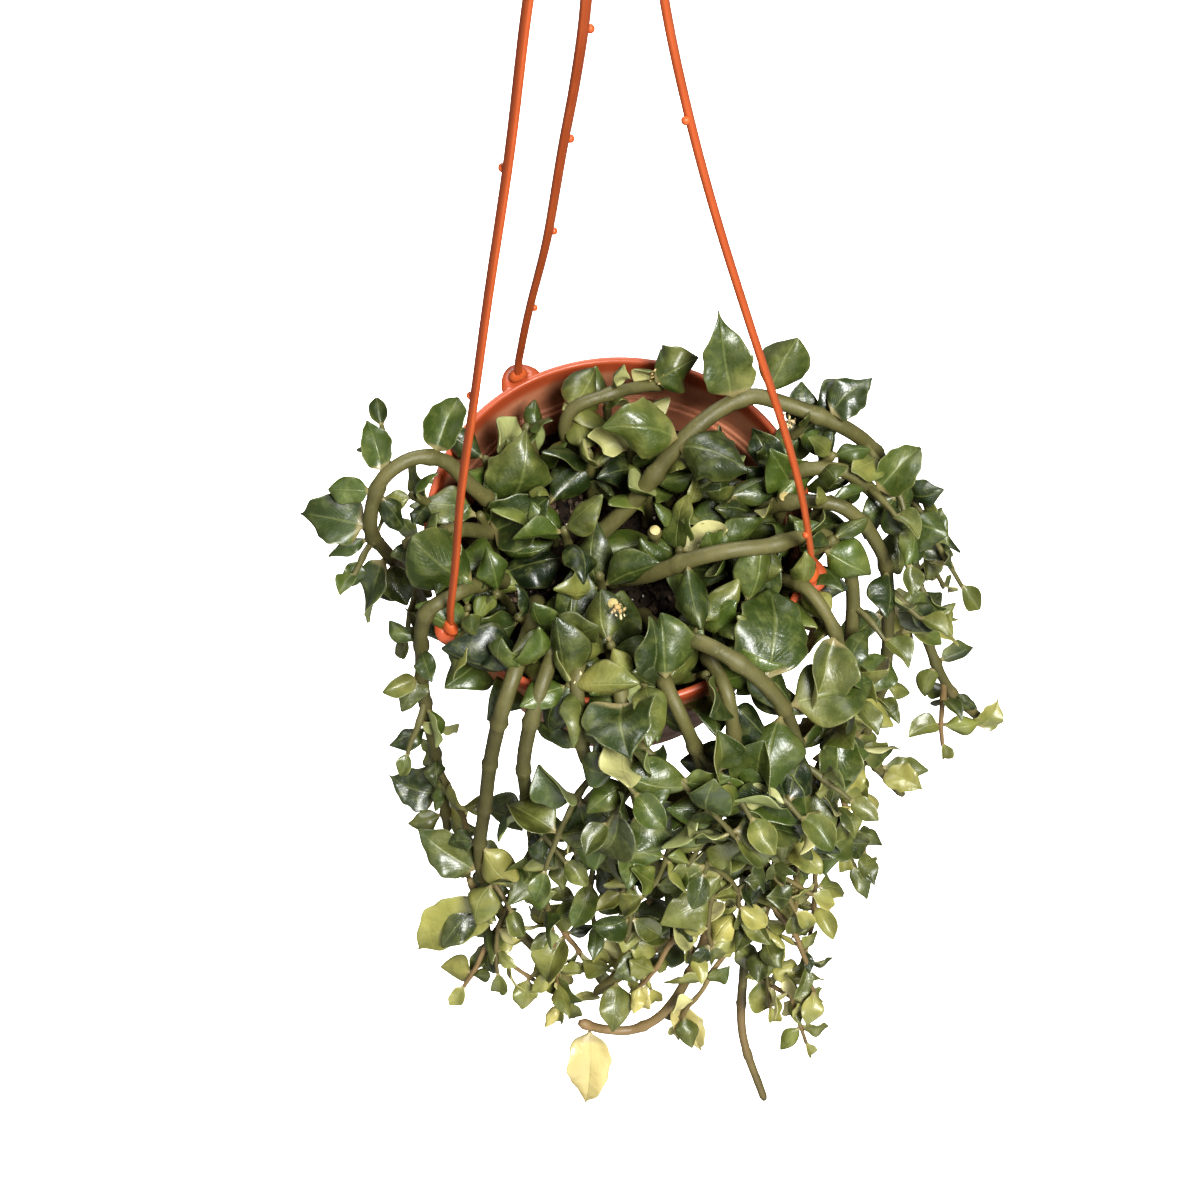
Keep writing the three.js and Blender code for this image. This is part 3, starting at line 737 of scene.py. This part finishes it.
def add_leaf(bm, block, base, tip, up, width, kind, rng, age=0.2, tone=0.5, teeth=1.4, stalk=0.12):
    """Shapes one copy of the slab into a fleshy, bent leaf on its own short stalk."""
    habit = LEAF_KINDS[kind]
    reach = tip - base
    length = reach.length
    along = reach.normalized()
    across = up.cross(along)
    if across.length < 1e-4:
        across = along.orthogonal()
    across.normalize()
    top = along.cross(across).normalized()
    first = len(bm.verts)
    bm.from_mesh(block)
    bm.verts.ensure_lookup_table()
    tone_layer, age_layer = bm.verts.layers.float["tone"], bm.verts.layers.float["age"]
    phase, beat = rng.uniform(0, 6.28), rng.uniform(1.0, 1.6)
    stalk *= rng.uniform(0.8, 1.2)
    skew, twist = rng.uniform(-0.09, 0.09), rng.uniform(-0.7, 0.7)
    fold = habit["fold"] * rng.uniform(0.6, 1.4)
    bend = habit["bend"] * rng.uniform(0.4, 1.5)
    chord = 2 * math.sin(bend / 2)
    lopsided = rng.uniform(-0.12, 0.12)
    half = width / 2
    flesh = min(2.3 * MM, max(1.1 * MM, 0.085 * length))
    for v in bm.verts[first:]:
        u, side, layer = (v.co.x + 1) / 2, v.co.y, v.co.z
        u = u ** 1.12
        t = max(0.0, (u - stalk) / (1 - stalk))
        body = math.sin(math.pi * min(1,
                                      t) ** habit["heart"]) ** (0.5 + 0.62 * habit["point"] * t ** 3) if 0 < t < 1 else 0.0
        edge = math.copysign(1, side) * beat
        body *= 1 + habit["teeth"] * (math.sin(2 * math.pi * teeth * t + phase + edge)
                                      + 0.5 * math.sin(math.pi * teeth * t + 2.3 * phase - 2 * edge)) * smooth_step(0, 0.3, t)
        body *= 1 + lopsided * math.copysign(1, side) * abs(side)
        wide = max(body * half, (0.8 - 0.5 * t) * MM)
        rim = abs(side)
        lift = fold * rim ** 1.5 * wide - habit["curl"] * wide * max(0.0, rim - 0.45) ** 2 * 2.2
        lift += habit["wave"] * half * rim ** 1.6 * body * math.sin(2 * math.pi * beat * t + phase + edge)
        lift += 0.07 * half * body * math.sin(9 * t + phase) * math.cos(4 * side + 2 * phase)
        thick = flesh * (1 - 0.4 * t) * (1 - 0.6 * rim ** 2.6)
        groove = 0.3 * MM * math.exp(-(side / 0.16) ** 2) * smooth_step(0, 0.2, t)
        y = side * wide * (1 - 0.12 * habit["curl"] * rim) + skew * length * math.sin(math.pi * u)
        z = lift + layer * thick / 2 - groove
        roll = twist * t
        y, z = y * math.cos(roll) - z * math.sin(roll), y * math.sin(roll) + z * math.cos(roll)
        turn = bend * (u - 0.5)
        x = length * (math.sin(turn) + chord / 2) / chord + z * math.sin(turn)
        z = length * (math.cos(turn) - math.cos(bend / 2)) / chord + z * math.cos(turn)
        v.co = base + along * x + across * y + top * z
        v[tone_layer] = tone
        v[age_layer] = age


def leaf_from_node(node, stem_points):
    """(base, tip, up, width) of a leaf's plain solid in the frame."""
    import numpy as np

    points = np.unique(np.round([v.co[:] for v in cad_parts[node].data.vertices], 6), axis=0)
    middle = points.mean(0)
    axes = np.linalg.svd(points - middle)[2]
    spans = (points - middle) @ axes.T
    ends = [Vector(middle + axes[0] * spans[:, 0].min()), Vector(middle + axes[0] * spans[:, 0].max())]
    near = [min((p - e).length for p in stem_points) for e in ends]
    base, tip = ends if near[0] < near[1] else ends[::-1]
    up = Vector(axes[2])
    if up.dot(Vector((0, -0.5, 1))) < 0:
        up = -up
    return base, tip, up, float(spans[:, 1].max() - spans[:, 1].min())


# kind and how fresh and pale each of the main leaves is
MAIN_LEAVES = {
    "broad": ("spoon", 0.25), "crown": ("curl", 0.35), "saddle": ("curl", 0.4), "wing": ("curl", 0.35),
    "folded": ("boat", 0.1),
    "bract": ("trowel", 0.05), "shield": ("spade", 0.15), "spoon": ("spoon", 0.15), "bud": ("spoon", 0.15),
    "back_left": ("spoon", 0.5),
    "back_right": ("curl", 0.45), "dark": ("boat", 0.05), "round": ("spoon", 0.25),
    "heart": ("trowel", 0.3), "side": ("curl", 0.4),
    "pale": ("trowel", 0.85), "tooth": ("trowel", 0.4), "lance": ("spade", 0.35), "cream": ("trowel", 1.0),
    "drop": ("trowel", 0.95),
    "left_tip": ("trowel", 0.1), "left_low": ("trowel", 0.15), "left_up": ("boat", 0.2),
    "left_in": ("boat", 0.2), "top": ("trowel", 0.35),
    "oval": ("spoon", 0.35), "point": ("spade", 0.3), "fan": ("boat", 0.25), "right_up": ("spoon", 0.25),
    "right_mid": ("spade", 0.3),
    "right_tip": ("trowel", 0.65), "right_low": ("spade", 0.6), "long": ("boat", 0.4),
    "long_low": ("boat", 0.45),
}


def make_main_leaves(stems):
    block = leaf_block("fine_leaf_block", 22, 10)
    points = [p for stem in stems.values() for p in stem.path[::2]]
    for number, (name, (kind, age)) in enumerate(MAIN_LEAVES.items()):
        rng = random.Random(300 + number)
        base, tip, up, width = leaf_from_node(f"leaf_{name}", points)
        close = min(points, key=lambda p: (p - base).length)
        base = base.lerp(close, 0.5)
        bm = growing_bmesh()
        add_leaf(bm, block, base, tip, up, width * 1.03, kind, rng, age, rng.uniform(0.2, 0.8), teeth=4.0,
                 stalk=0.05)
        finish_piece(f"blade_{name}", bm, LEAF_SKIN, (f"leaf_{name}",), subdivide=1)


def blocked(point):
    """True where a leaf would cut into the pot or the soil."""
    r = math.hypot(point.x, point.y)
    if r < RIM_R + 2 * MM and BASE_Z - 0.004 < point.z < RIM_Z + 1 * MM:
        inside = r < RIM_R - 5 * MM and point.z > SOIL_Z + 1.5 * MM
        return not inside
    return False


def growth_map(stems):
    """Where the plant already is: every main stem and main leaf."""
    points = [p for stem in stems.values() for p in stem.path[::3]]
    for name in MAIN_LEAVES:
        points += [v.co.copy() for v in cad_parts[f"leaf_{name}"].data.vertices]
    for places, _, _ in LOW_VINES:
        points += [spot(*place) for place in places]
    tree = kdtree.KDTree(len(points))
    for number, point in enumerate(points):
        tree.insert(point, number)
    tree.balance()
    hull = bmesh.new()
    for point in points:
        hull.verts.new(point)
    bmesh.ops.convex_hull(hull, input=hull.verts)
    bmesh.ops.recalc_face_normals(hull, faces=hull.faces)
    sides = [(face.verts[0].co.copy(), face.normal.copy()) for face in hull.faces]
    hull.free()
    return tree, sides


def astray(point, limit):
    """True where a leaf would leave the body of the plant."""
    tree, sides = GROWTH
    if tree.find(point)[2] > limit:
        return True
    return any((point - corner).dot(normal) > HULL_SLACK for corner, normal in sides)


def leaf_pair(bm, block, stem, s, rng, size, age, quarter, kinds):
    """Two opposite leaves at one joint, each turned towards the light."""
    place, ahead = stem.at(s)
    side = ahead.cross(UP)
    if side.length < 0.2:
        side = ahead.cross(Vector((place.x, place.y, 0)).normalized())
    side.normalize()
    side = Quaternion(ahead, quarter) @ side
    outward = Vector((place.x, place.y, 0)).normalized()
    for sign in (-1, 1):
        if rng.random() < 0.1:
            continue
        lean = rng.uniform(0.1, 0.8)
        heading = (side * sign + ahead * lean + UP * rng.uniform(-0.35, 0.5) + outward * rng.uniform(0.0,
                                                                                                     0.5)).normalized()
        length = size * rng.uniform(0.65, 1.25)
        base = place + heading * stem.girth(s) * 0.7
        tip = base + heading * length
        up = (UP * 0.75 + outward * rng.uniform(0.0, 0.7) + Vector((0, -0.25, 0))
              + Vector([rng.uniform(-0.85, 0.85) for _ in range(3)])).normalized()
        if blocked(tip) or blocked(base.lerp(tip, 0.6)):
            tip = base + (heading + outward * 1.2 + UP * 0.5).normalized() * length
            if blocked(tip) or blocked(base.lerp(tip, 0.6)):
                continue
        if astray(tip, LEAF_REACH):
            tip = base + (heading - outward + UP * 0.3).normalized() * length * 0.8
            if astray(tip, LEAF_REACH) or blocked(tip):
                continue
        add_leaf(bm, block, base, tip, up, length * rng.uniform(0.5, 0.82), rng.choice(kinds), rng,
                 min(1, max(0, age + rng.uniform(-0.2, 0.25))), rng.random())


# size of the leaves in millimetres, how pale they are, and the share of the stem that carries them
FOLIAGE = {
    "stem_diagonal": (22, 0.2, 0.62, 1.0), "stem_arch": (23, 0.2, 0.62, 1.0),
    "stem_front": (27, 0.15, 0.34, 1.0),
    "stem_loop": (17, 0.1, 0.36, 1.0), "stem_left": (15, 0.25, 0.3, 1.0),
    "stem_front_left": (20, 0.25, 0.56, 1.0),
    "stem_bend": (21, 0.15, 0.55, 1.0), "stem_short_front": (27, 0.1, 0.3, 1.0),
    "stem_middle": (24, 0.3, 0.24, 0.95),
    "stem_sling": (21, 0.4, 0.24, 0.62), "stem_low_tip": (22, 0.4, 0.24, 0.7),
    "stem_right": (16, 0.3, 0.22, 1.0),
    "stem_right_inner": (21, 0.25, 0.2, 1.0), "stem_right_front": (22, 0.35, 0.22, 1.0),
    "stem_rear": (18, 0.35, 0.5, 1.0),
}
# Radii of the thin growth, and how far leaves and vines may stand off the main stems.
SIDE_VINE_RADIUS = 1.35 * MM
LOW_VINE_RADIUS = 1.3 * MM
SHOOT_RADIUS = 1.9 * MM
STUMP_RADIUS = 2.1 * MM
CUT_RADIUS = 1.9 * MM
LEAF_REACH = 20 * MM
VINE_REACH = 18 * MM
HULL_SLACK = 4 * MM

MIXED = ["spade", "spade", "boat", "curl", "heart", "spoon"]
DOMED = ["spoon", "curl", "heart", "spade", "spoon"]


def dress(bm, block, stem, rng, size, age, start, end, kinds):
    """Pairs of leaves at the joints of a stem, each pair a quarter turn from the last."""
    quarter = rng.uniform(-0.3, 0.3)
    for s in stem.joints:
        share = s / stem.length
        quarter += math.pi / 2 * rng.uniform(0.85, 1.15)
        if start <= share <= end:
            leaf_pair(bm, block, stem, s, rng, size * (1.1 - 0.35 * share) * MM, age + 0.3 * share - 0.1,
                      quarter % math.pi, kinds)


def make_foliage(stems, block):
    for number, (node, (size, age, start, end)) in enumerate(FOLIAGE.items()):
        rng = random.Random(700 + number)
        bm = growing_bmesh()
        dress(bm, block, stems[node], rng, size, age, start, end, MIXED)
        finish_piece(node.replace("stem_", "foliage_"), bm, LEAF_SKIN, subdivide=1)


# Side vines: parent, share along it, heading, length and leaf size in millimetres, how pale.
SIDE_VINES = [
    ("stem_front", 0.38, (0.2, -0.6, 0.3), 50, 25, 0.15),
    ("stem_front", 0.52, (-0.7, -0.6, 0.0), 70, 22, 0.2),
    ("stem_front", 0.66, (0.6, -0.5, 0.0), 75, 20, 0.3),
    ("stem_front", 0.80, (-0.5, -0.5, -0.1), 80, 19, 0.4),
    ("stem_front", 0.93, (-0.2, -0.8, -0.3), 90, 18, 0.45),
    ("stem_short_front", 0.42, (0.5, -0.8, 0.1), 50, 25, 0.1),
    ("stem_short_front", 0.70, (-0.5, -0.7, -0.2), 70, 21, 0.2),
    ("stem_short_front", 0.97, (0.4, -0.6, -0.6), 90, 18, 0.3),
    ("stem_short_front", 0.88, (-0.6, -0.3, -0.6), 85, 17, 0.45),
    ("stem_middle", 0.24, (0.7, -0.6, 0.2), 55, 25, 0.15),
    ("stem_middle", 0.34, (-0.6, -0.7, 0.0), 65, 22, 0.2),
    ("stem_middle", 0.48, (0.8, -0.4, -0.2), 70, 20, 0.35),
    ("stem_middle", 0.60, (-0.7, -0.6, 0.0), 65, 18, 0.4),
    ("stem_middle", 0.74, (0.2, -0.9, 0.0), 45, 17, 0.6),
    ("stem_sling", 0.24, (0.6, -0.7, 0.2), 55, 24, 0.2),
    ("stem_sling", 0.36, (-0.5, -0.8, 0.0), 65, 21, 0.3),
    ("stem_sling", 0.50, (0.7, -0.5, -0.1), 75, 18, 0.45),
    ("stem_sling", 0.62, (-0.6, -0.5, -0.1), 60, 16, 0.55),
    ("stem_low_tip", 0.24, (0.6, -0.7, 0.2), 55, 25, 0.15),
    ("stem_low_tip", 0.34, (-0.6, -0.8, 0.0), 65, 22, 0.25),
    ("stem_low_tip", 0.46, (0.5, -0.4, -0.2), 70, 17, 0.4),
    ("stem_low_tip", 0.56, (0.6, -0.6, -0.2), 110, 16, 0.5),
    ("stem_low_tip", 0.66, (-0.5, -0.7, -0.1), 60, 15, 0.55),
    ("stem_low_tip", 0.74, (0.6, -0.5, -0.2), 70, 14, 0.6),
    ("stem_arch", 0.58, (0.5, -0.5, 0.1), 50, 22, 0.2), ("stem_arch", 0.70, (0.3, -0.8, 0.0), 70, 20, 0.3),
    ("stem_arch", 0.84, (0.1, -0.3, -0.5), 45, 17, 0.4),
    ("stem_arch", 0.98, (0.1, -0.5, -0.8), 80, 16, 0.5),
    ("stem_right_front", 0.32, (0.2, -0.8, 0.2), 50, 23, 0.2),
    ("stem_right_front", 0.48, (-0.3, -0.9, 0.0), 65, 20, 0.3),
    ("stem_right_front", 0.66, (0.1, -0.6, -0.4), 50, 16, 0.5),
    ("stem_right_front", 0.84, (-0.6, -0.5, -0.3), 70, 16, 0.55),
    ("stem_diagonal", 0.66, (0.3, -0.6, 0.1), 45, 19, 0.3),
    ("stem_diagonal", 0.78, (0.4, -0.4, -0.1), 55, 19, 0.3),
    ("stem_diagonal", 0.90, (0.5, -0.2, -0.4), 60, 18, 0.3),
    ("stem_diagonal", 0.99, (0.1, -0.3, -0.9), 80, 17, 0.4),
    ("stem_right", 0.28, (0.4, -0.6, 0.3), 45, 21, 0.2),
    ("stem_right", 0.42, (0.0, 0.6, -0.3), 30, 16, 0.3),
    ("stem_right", 0.56, (0.3, -0.7, -0.1), 60, 17, 0.4),
    ("stem_right", 0.70, (0.4, 0.4, -0.4), 60, 16, 0.5),
    ("stem_right", 0.86, (0.1, -0.5, -0.6), 50, 15, 0.55),
    ("stem_right_inner", 0.26, (0.4, -0.6, 0.3), 45, 22, 0.2),
    ("stem_right_inner", 0.42, (0.5, -0.6, 0.0), 60, 19, 0.3),
    ("stem_right_inner", 0.58, (0.4, 0.4, -0.2), 60, 17, 0.4),
    ("stem_right_inner", 0.78, (-0.4, -0.5, -0.4), 60, 15, 0.5),
    ("stem_loop", 0.34, (-0.1, 0.5, 0.3), 22, 16, 0.2),
    ("stem_loop", 0.50, (-0.2, -0.6, 0.3), 28, 17, 0.15),
    ("stem_loop", 0.80, (-0.2, -0.4, -0.6), 45, 15, 0.3),
    ("stem_left", 0.55, (-0.2, -0.7, -0.3), 35, 15, 0.3),
    ("stem_left", 0.80, (0.3, -0.5, -0.5), 50, 16, 0.35),
    ("stem_left", 0.97, (0.5, -0.3, -0.7), 70, 15, 0.45),
    ("stem_front_left", 0.66, (0.4, -0.7, -0.2), 55, 18, 0.35),
    ("stem_front_left", 0.80, (-0.5, -0.6, -0.3), 55, 17, 0.45),
    ("stem_front_left", 0.95, (0.5, -0.4, -0.6), 60, 16, 0.5),
    ("stem_bend", 0.66, (0.5, -0.6, -0.1), 55, 20, 0.25),
    ("stem_bend", 0.82, (-0.5, -0.6, -0.3), 65, 18, 0.35),
    ("stem_bend", 0.97, (0.3, -0.5, -0.8), 75, 17, 0.45),
]

# Thin vines low in the front: places right, back and above the rim, leaf size, how pale.
LOW_VINES = [
    ([(38, -82, -105), (49, -96, -150), (60, -110, -190), (71, -127, -235)], 14, 0.45),
    ([(59, -72, -60), (67, -83, -105), (69, -97, -150), (66, -107, -180)], 15, 0.40),
    ([(-32, -89, -135), (-30, -102, -175), (-30, -114, -210)], 15, 0.50),
    ([(-60, -83, -125), (-52, -99, -170), (-37, -107, -195)], 17, 0.40),
    ([(7, -91, -135), (3, -101, -170), (7, -110, -200)], 15, 0.60),
    ([(-10, -77, -90), (-15, -88, -130), (-13, -100, -170)], 18, 0.35),
    ([(50, -74, -75), (54, -86, -120), (51, -98, -160), (55, -117, -210)], 15, 0.45),
]

# Shoots that stand in the pot: root right and back, top right, back and above the rim, leaf size.
SHOOTS = [
    ((-26, 32), (-30, 38, 2), 20), ((-2, 38), (-2, 44, 4), 19), ((-40, 24), (-44, 26, 2), 18),
    ((-22, 8), (-26, 14, 3), 22),
    ((-42, 2), (-46, 4, 4), 22), ((-16, -4), (-18, -4, 6), 20), ((-30, -28), (-34, -34, 4), 22),
    ((-20, -36), (-20, -42, 6), 22),
    ((-6, -40), (-4, -46, 6), 22), ((20, -12), (20, -10, 0), 18), ((30, -10), (34, -14, 3), 22),
    ((26, -34), (24, -40, 6), 22),
    ((40, -28), (40, -34, 6), 22), ((12, -44), (10, -50, 4), 22), ((48, 0), (52, 4, 5), 20),
    ((50, 14), (54, 20, 3), 18),
    ((4, -50), (6, -60, 6), 24), ((22, -48), (26, -58, 6), 24), ((-16, -50), (-18, -60, 7), 23),
    ((38, -42), (46, -48, 6), 24),
    ((-40, -32), (-48, -42, 6), 22), ((-30, -44), (-36, -52, 6), 23), ((54, -4), (70, 0, 13), 20),
    ((52, 12), (72, 15, 15), 20),
    ((48, 24), (66, 30, 15), 20), ((52, -14), (70, -14, 11), 21), ((-50, 10), (-68, 8, 12), 16),
    ((-50, -4), (-66, -8, 10), 16),
    ((4, 22), (6, 27, 4), 22), ((18, 22), (21, 28, 1), 19), ((-8, 20), (-9, 25, 6), 22),
    ((20, 2), (23, 6, 0), 19),
    ((-36, -20), (-41, -25, 3), 21), ((32, 4), (37, 7, 3), 19), ((-6, -18), (-7, -22, 8), 21),
    ((-52, -24), (-50, -30, 4), 19),
    ((32, 18), (30, 20, -2), 16), ((10, 14), (12, 18, -2), 18), ((-48, -12), (-52, -18, 5), 20),
    ((52, -20), (58, -28, 5), 20),
]


def trail(start, heading, length, rng):
    """Points of a thin stem that sets off one way and is then pulled down by its own weight."""
    step = 6 * MM
    heading = Vector(heading).normalized()
    points = [start.copy()]
    while step * (len(points) - 1) < length * MM:
        sway = Vector((rng.uniform(-0.16, 0.16), rng.uniform(-0.16, 0.16), 0))
        heading = (heading + Vector((0, 0, -0.15)) + sway).normalized()
        point = points[-1] + heading * step
        r = math.hypot(point.x, point.y)
        if r < RIM_R + 5 * MM and BASE_Z - 0.01 < point.z < RIM_Z + 3 * MM:
            point.x *= (RIM_R + 5 * MM) / r
            point.y *= (RIM_R + 5 * MM) / r
        if astray(point, VINE_REACH):
            break
        points.append(point)
    return points


# Side vines are finished in groups, by the side of the plant they hang on.
VINE_GROUPS = {
    "front": ("stem_front", "stem_short_front", "stem_middle"),
    "low": ("stem_sling", "stem_low_tip", "stem_arch"),
    "right": ("stem_right_front", "stem_diagonal", "stem_right", "stem_right_inner"),
    "left": ("stem_loop", "stem_left", "stem_front_left", "stem_bend"),
}


def end_leaf(leaves, block, vine, rng, size, age):
    tip, ahead = vine.at(vine.length)
    add_leaf(leaves, block, tip, tip + (ahead + UP * 0.3).normalized() * size * 0.6 * MM, UP,
             size * 0.4 * MM, "boat", rng, age + 0.2, rng.random())


def finish_vines(group, vines, leaves):
    bmesh.ops.recalc_face_normals(vines, faces=vines.faces)
    finish_piece(f"side_vines_{group}", vines, STEM_SKIN)
    finish_piece(f"side_vine_leaves_{group}", leaves, LEAF_SKIN, subdivide=1)


def make_side_growth(stems, block):
    for group, parents in VINE_GROUPS.items():
        vines, leaves = growing_bmesh(), growing_bmesh()
        for number, (node, share, heading, length, size, age) in enumerate(SIDE_VINES):
            if node not in parents:
                continue
            rng = random.Random(900 + number)
            parent = stems[node]
            start, _ = parent.at(share * parent.length)
            line = trail(start, heading, length, rng)
            if len(line) < 4:
                continue
            side = Stem(node, line, SIDE_VINE_RADIUS, age + 0.2, taper=0.4, joint=14, first=9, seed=number)
            side.build(vines, sides=8)
            dress(leaves, block, side, rng, size, age, 0.0, 1.0, MIXED)
            end_leaf(leaves, block, side, rng, size, age)
        finish_vines(group, vines, leaves)
    vines, leaves = growing_bmesh(), growing_bmesh()
    for number, (places, size, age) in enumerate(LOW_VINES):
        rng = random.Random(1000 + number)
        vine = Stem("low_vine", [spot(*place) for place in places], LOW_VINE_RADIUS, age + 0.15, taper=0.4,
                    joint=13, first=5, seed=number)
        vine.build(vines, sides=8)
        dress(leaves, block, vine, rng, size, age, 0.0, 1.0, MIXED)
        end_leaf(leaves, block, vine, rng, size, age)
    finish_vines("hanging", vines, leaves)


def make_shoots(block):
    vines, leaves = growing_bmesh(), growing_bmesh()
    for number, ((x, y), top, size) in enumerate(SHOOTS):
        rng = random.Random(1100 + number)
        root, head = spot(x, y, -31), spot(*top)
        line = [root, root.lerp(head, 0.5) + Vector((0, 0, 5 * MM)), head]
        shoot = Stem("shoot", line, SHOOT_RADIUS, 0.15, taper=0.3, joint=11, first=14, seed=number)
        shoot.joints = [s for s in shoot.joints if s > 0.3 * shoot.length] + [shoot.length - 1.5 * MM]
        shoot.build(vines, sides=8)
        dress(leaves, block, shoot, rng, size * 1.15, 0.12, 0.0, 1.0, DOMED)
    bmesh.ops.recalc_face_normals(vines, faces=vines.faces)
    finish_piece("shoot_stems", vines, STEM_SKIN)
    finish_piece("shoot_leaves", leaves, LEAF_SKIN, subdivide=1)


# Stumps of cut stems: place right, back and above the rim of the cut, and its lean.
STUMPS = [((12, -5), 4, (0.1, -0.2)), ((-3, -34), 11, (0.1, -0.3)), ((-15, -56), 7, (0.0, -0.3)),
          ((55, 3), 9, (0.2, -0.1))]
DRY_FLOWERS = [(16, 49, 11), (-1, -38, 14), (6, -71, -6), (58, 28, 14), (-14, -58, 8)]


def cut_face(bm, place, ahead, radius):
    """The pale solid cap on the end of a cut stem."""
    path = [place - ahead * 0.2 * MM, place + ahead * 0.35 * MM]
    sweep(bm, path, round_outline(14), [radius * 1.0, radius * 0.86])


def make_stumps(stems):
    skins, cuts = growing_bmesh(), bmesh.new()
    for number, ((x, y), top, lean) in enumerate(STUMPS):
        head = spot(x, y, top)
        root = spot(x - 12 * lean[0], y - 12 * lean[1], -31)
        stump = Stem("stump", [root, root.lerp(head, 0.5), head], STUMP_RADIUS, 0.35, taper=0.05, joint=16,
                     seed=number)
        stump.joints.append(stump.length - 2 * MM)
        stump.build(skins, sides=12)
        cut_face(cuts, head, (head - root).normalized(), CUT_RADIUS)
    short = stems["stem_cut_left"]
    place, ahead = short.at(short.length)
    cut_face(cuts, place, ahead, CUT_RADIUS)
    bmesh.ops.recalc_face_normals(skins, faces=skins.faces)
    bmesh.ops.recalc_face_normals(cuts, faces=cuts.faces)
    finish_piece("cut_stumps", skins, STEM_SKIN)
    finish_piece("cut_ends", cuts, CUT_END)
    dry = bmesh.new()
    rng = random.Random(77)
    for x, y, z in DRY_FLOWERS:
        for _ in range(16):
            place = spot(x, y, z) + Vector([rng.gauss(0, 1.3 * MM) for _ in range(3)])
            size = rng.uniform(0.5, 1.2) * MM
            turn = Quaternion((rng.random(), rng.random(), rng.random(),
                               rng.random())).normalized().to_matrix().to_4x4()
            bmesh.ops.create_icosphere(dry, subdivisions=1, radius=1,
                                       matrix=Matrix.Translation(place) @ turn @ Matrix.Diagonal((size,
                                                                                                  size * 0.7, size * 0.45, 1)))
    finish_piece("dry_flower_stubs", dry, DRY_FLOWER, smooth=False)


# ------------------------------------------------------------------ studio


CAMERA_DOWN, CAMERA_ROLL = 65.6, 2.32  # degrees
ROOM_LIGHT = 0.2


def make_studio():
    scene = bpy.context.scene
    scene.view_settings.view_transform = "Standard"
    scene.view_settings.look = "Medium High Contrast"
    world = bpy.data.worlds.new("soft_room")
    scene.world = world
    world.use_nodes = True
    background = world.node_tree.nodes["Background"]
    background.inputs["Color"].default_value = (1.0, 0.99, 0.97, 1)
    background.inputs["Strength"].default_value = ROOM_LIGHT
    bm = bmesh.new()
    bmesh.ops.create_grid(bm, x_segments=1, y_segments=1, size=6)
    bmesh.ops.translate(bm, verts=bm.verts, vec=(0, 0, CAD_BOX[0].z - 0.9))
    mesh = bpy.data.meshes.new("floor")
    bm.to_mesh(mesh)
    bm.free()
    floor = bpy.data.objects.new("floor", mesh)
    scene.collection.objects.link(floor)
    s = Surface("pale_floor")
    mesh.materials.append(s.done(s.mix(s.noise(3), (0.93, 0.93, 0.93, 1), (0.96, 0.96, 0.96, 1)), 0.9,
                                 Specular_IOR_Level=0.1))
    floor.visible_diffuse = False
    floor.visible_glossy = False
    for name, place, aim, size, power in (
        ("key", (0.55, -0.75, 1.35), (0, 0, -0.45), 0.6, 80),
        ("fill", (-1.3, -0.9, 0.2), (0, 0, -0.5), 1.4, 7),
        ("back", (-0.3, 1.5, 0.5), (0, 0, -0.4), 1.0, 24),
        ("low_front", (0.4, -1.4, -0.8), (0, 0, -0.45), 1.2, 8),
        ("floor_glow", (0, 0, CAD_BOX[0].z - 0.2), (0, 0, -9), 4.0, 130),
    ):
        lamp = bpy.data.lights.new(name, "AREA")
        lamp.size, lamp.energy = size, power
        obj = bpy.data.objects.new(name, lamp)
        scene.collection.objects.link(obj)
        obj.visible_camera = False
        obj.location = place
        obj.rotation_euler = (Vector(aim) - Vector(place)).to_track_quat("-Z", "Y").to_euler()
    # The camera stands in front of and above the pot, looking steeply down, with a slight roll.
    down, roll = math.radians(CAMERA_DOWN), math.radians(CAMERA_ROLL)
    forward = Vector((0, math.cos(down), -math.sin(down)))
    upward = Vector((0, math.sin(down), math.cos(down)))
    right = Vector((1, 0, 0))
    cam_right = right * math.cos(roll) - upward * math.sin(roll)
    cam_up = right * math.sin(roll) + upward * math.cos(roll)
    camera = bpy.data.objects.new("camera", bpy.data.cameras.new("camera"))
    scene.collection.objects.link(camera)
    camera.data.lens, camera.data.sensor_width = 60, 36
    turn = Matrix((cam_right, cam_up, -forward)).transposed().to_4x4()
    camera.matrix_world = Matrix.Translation(spot(-7.1, -298.1, 596.2)) @ turn
    scene.camera = camera


make_studio()
make_pot()
make_hook()
make_arm("left", (127, 215))
make_arm("rear", (60, 122, 178, 232))
make_arm("right", (32, 222))
make_soil()
STEMS = make_stems()
make_main_leaves(STEMS)
GROWTH = growth_map(STEMS)
LEAF_BLOCK = leaf_block("leaf_block", 10, 4)
make_foliage(STEMS, LEAF_BLOCK)
make_side_growth(STEMS, LEAF_BLOCK)
make_shoots(LEAF_BLOCK)
make_stumps(STEMS)
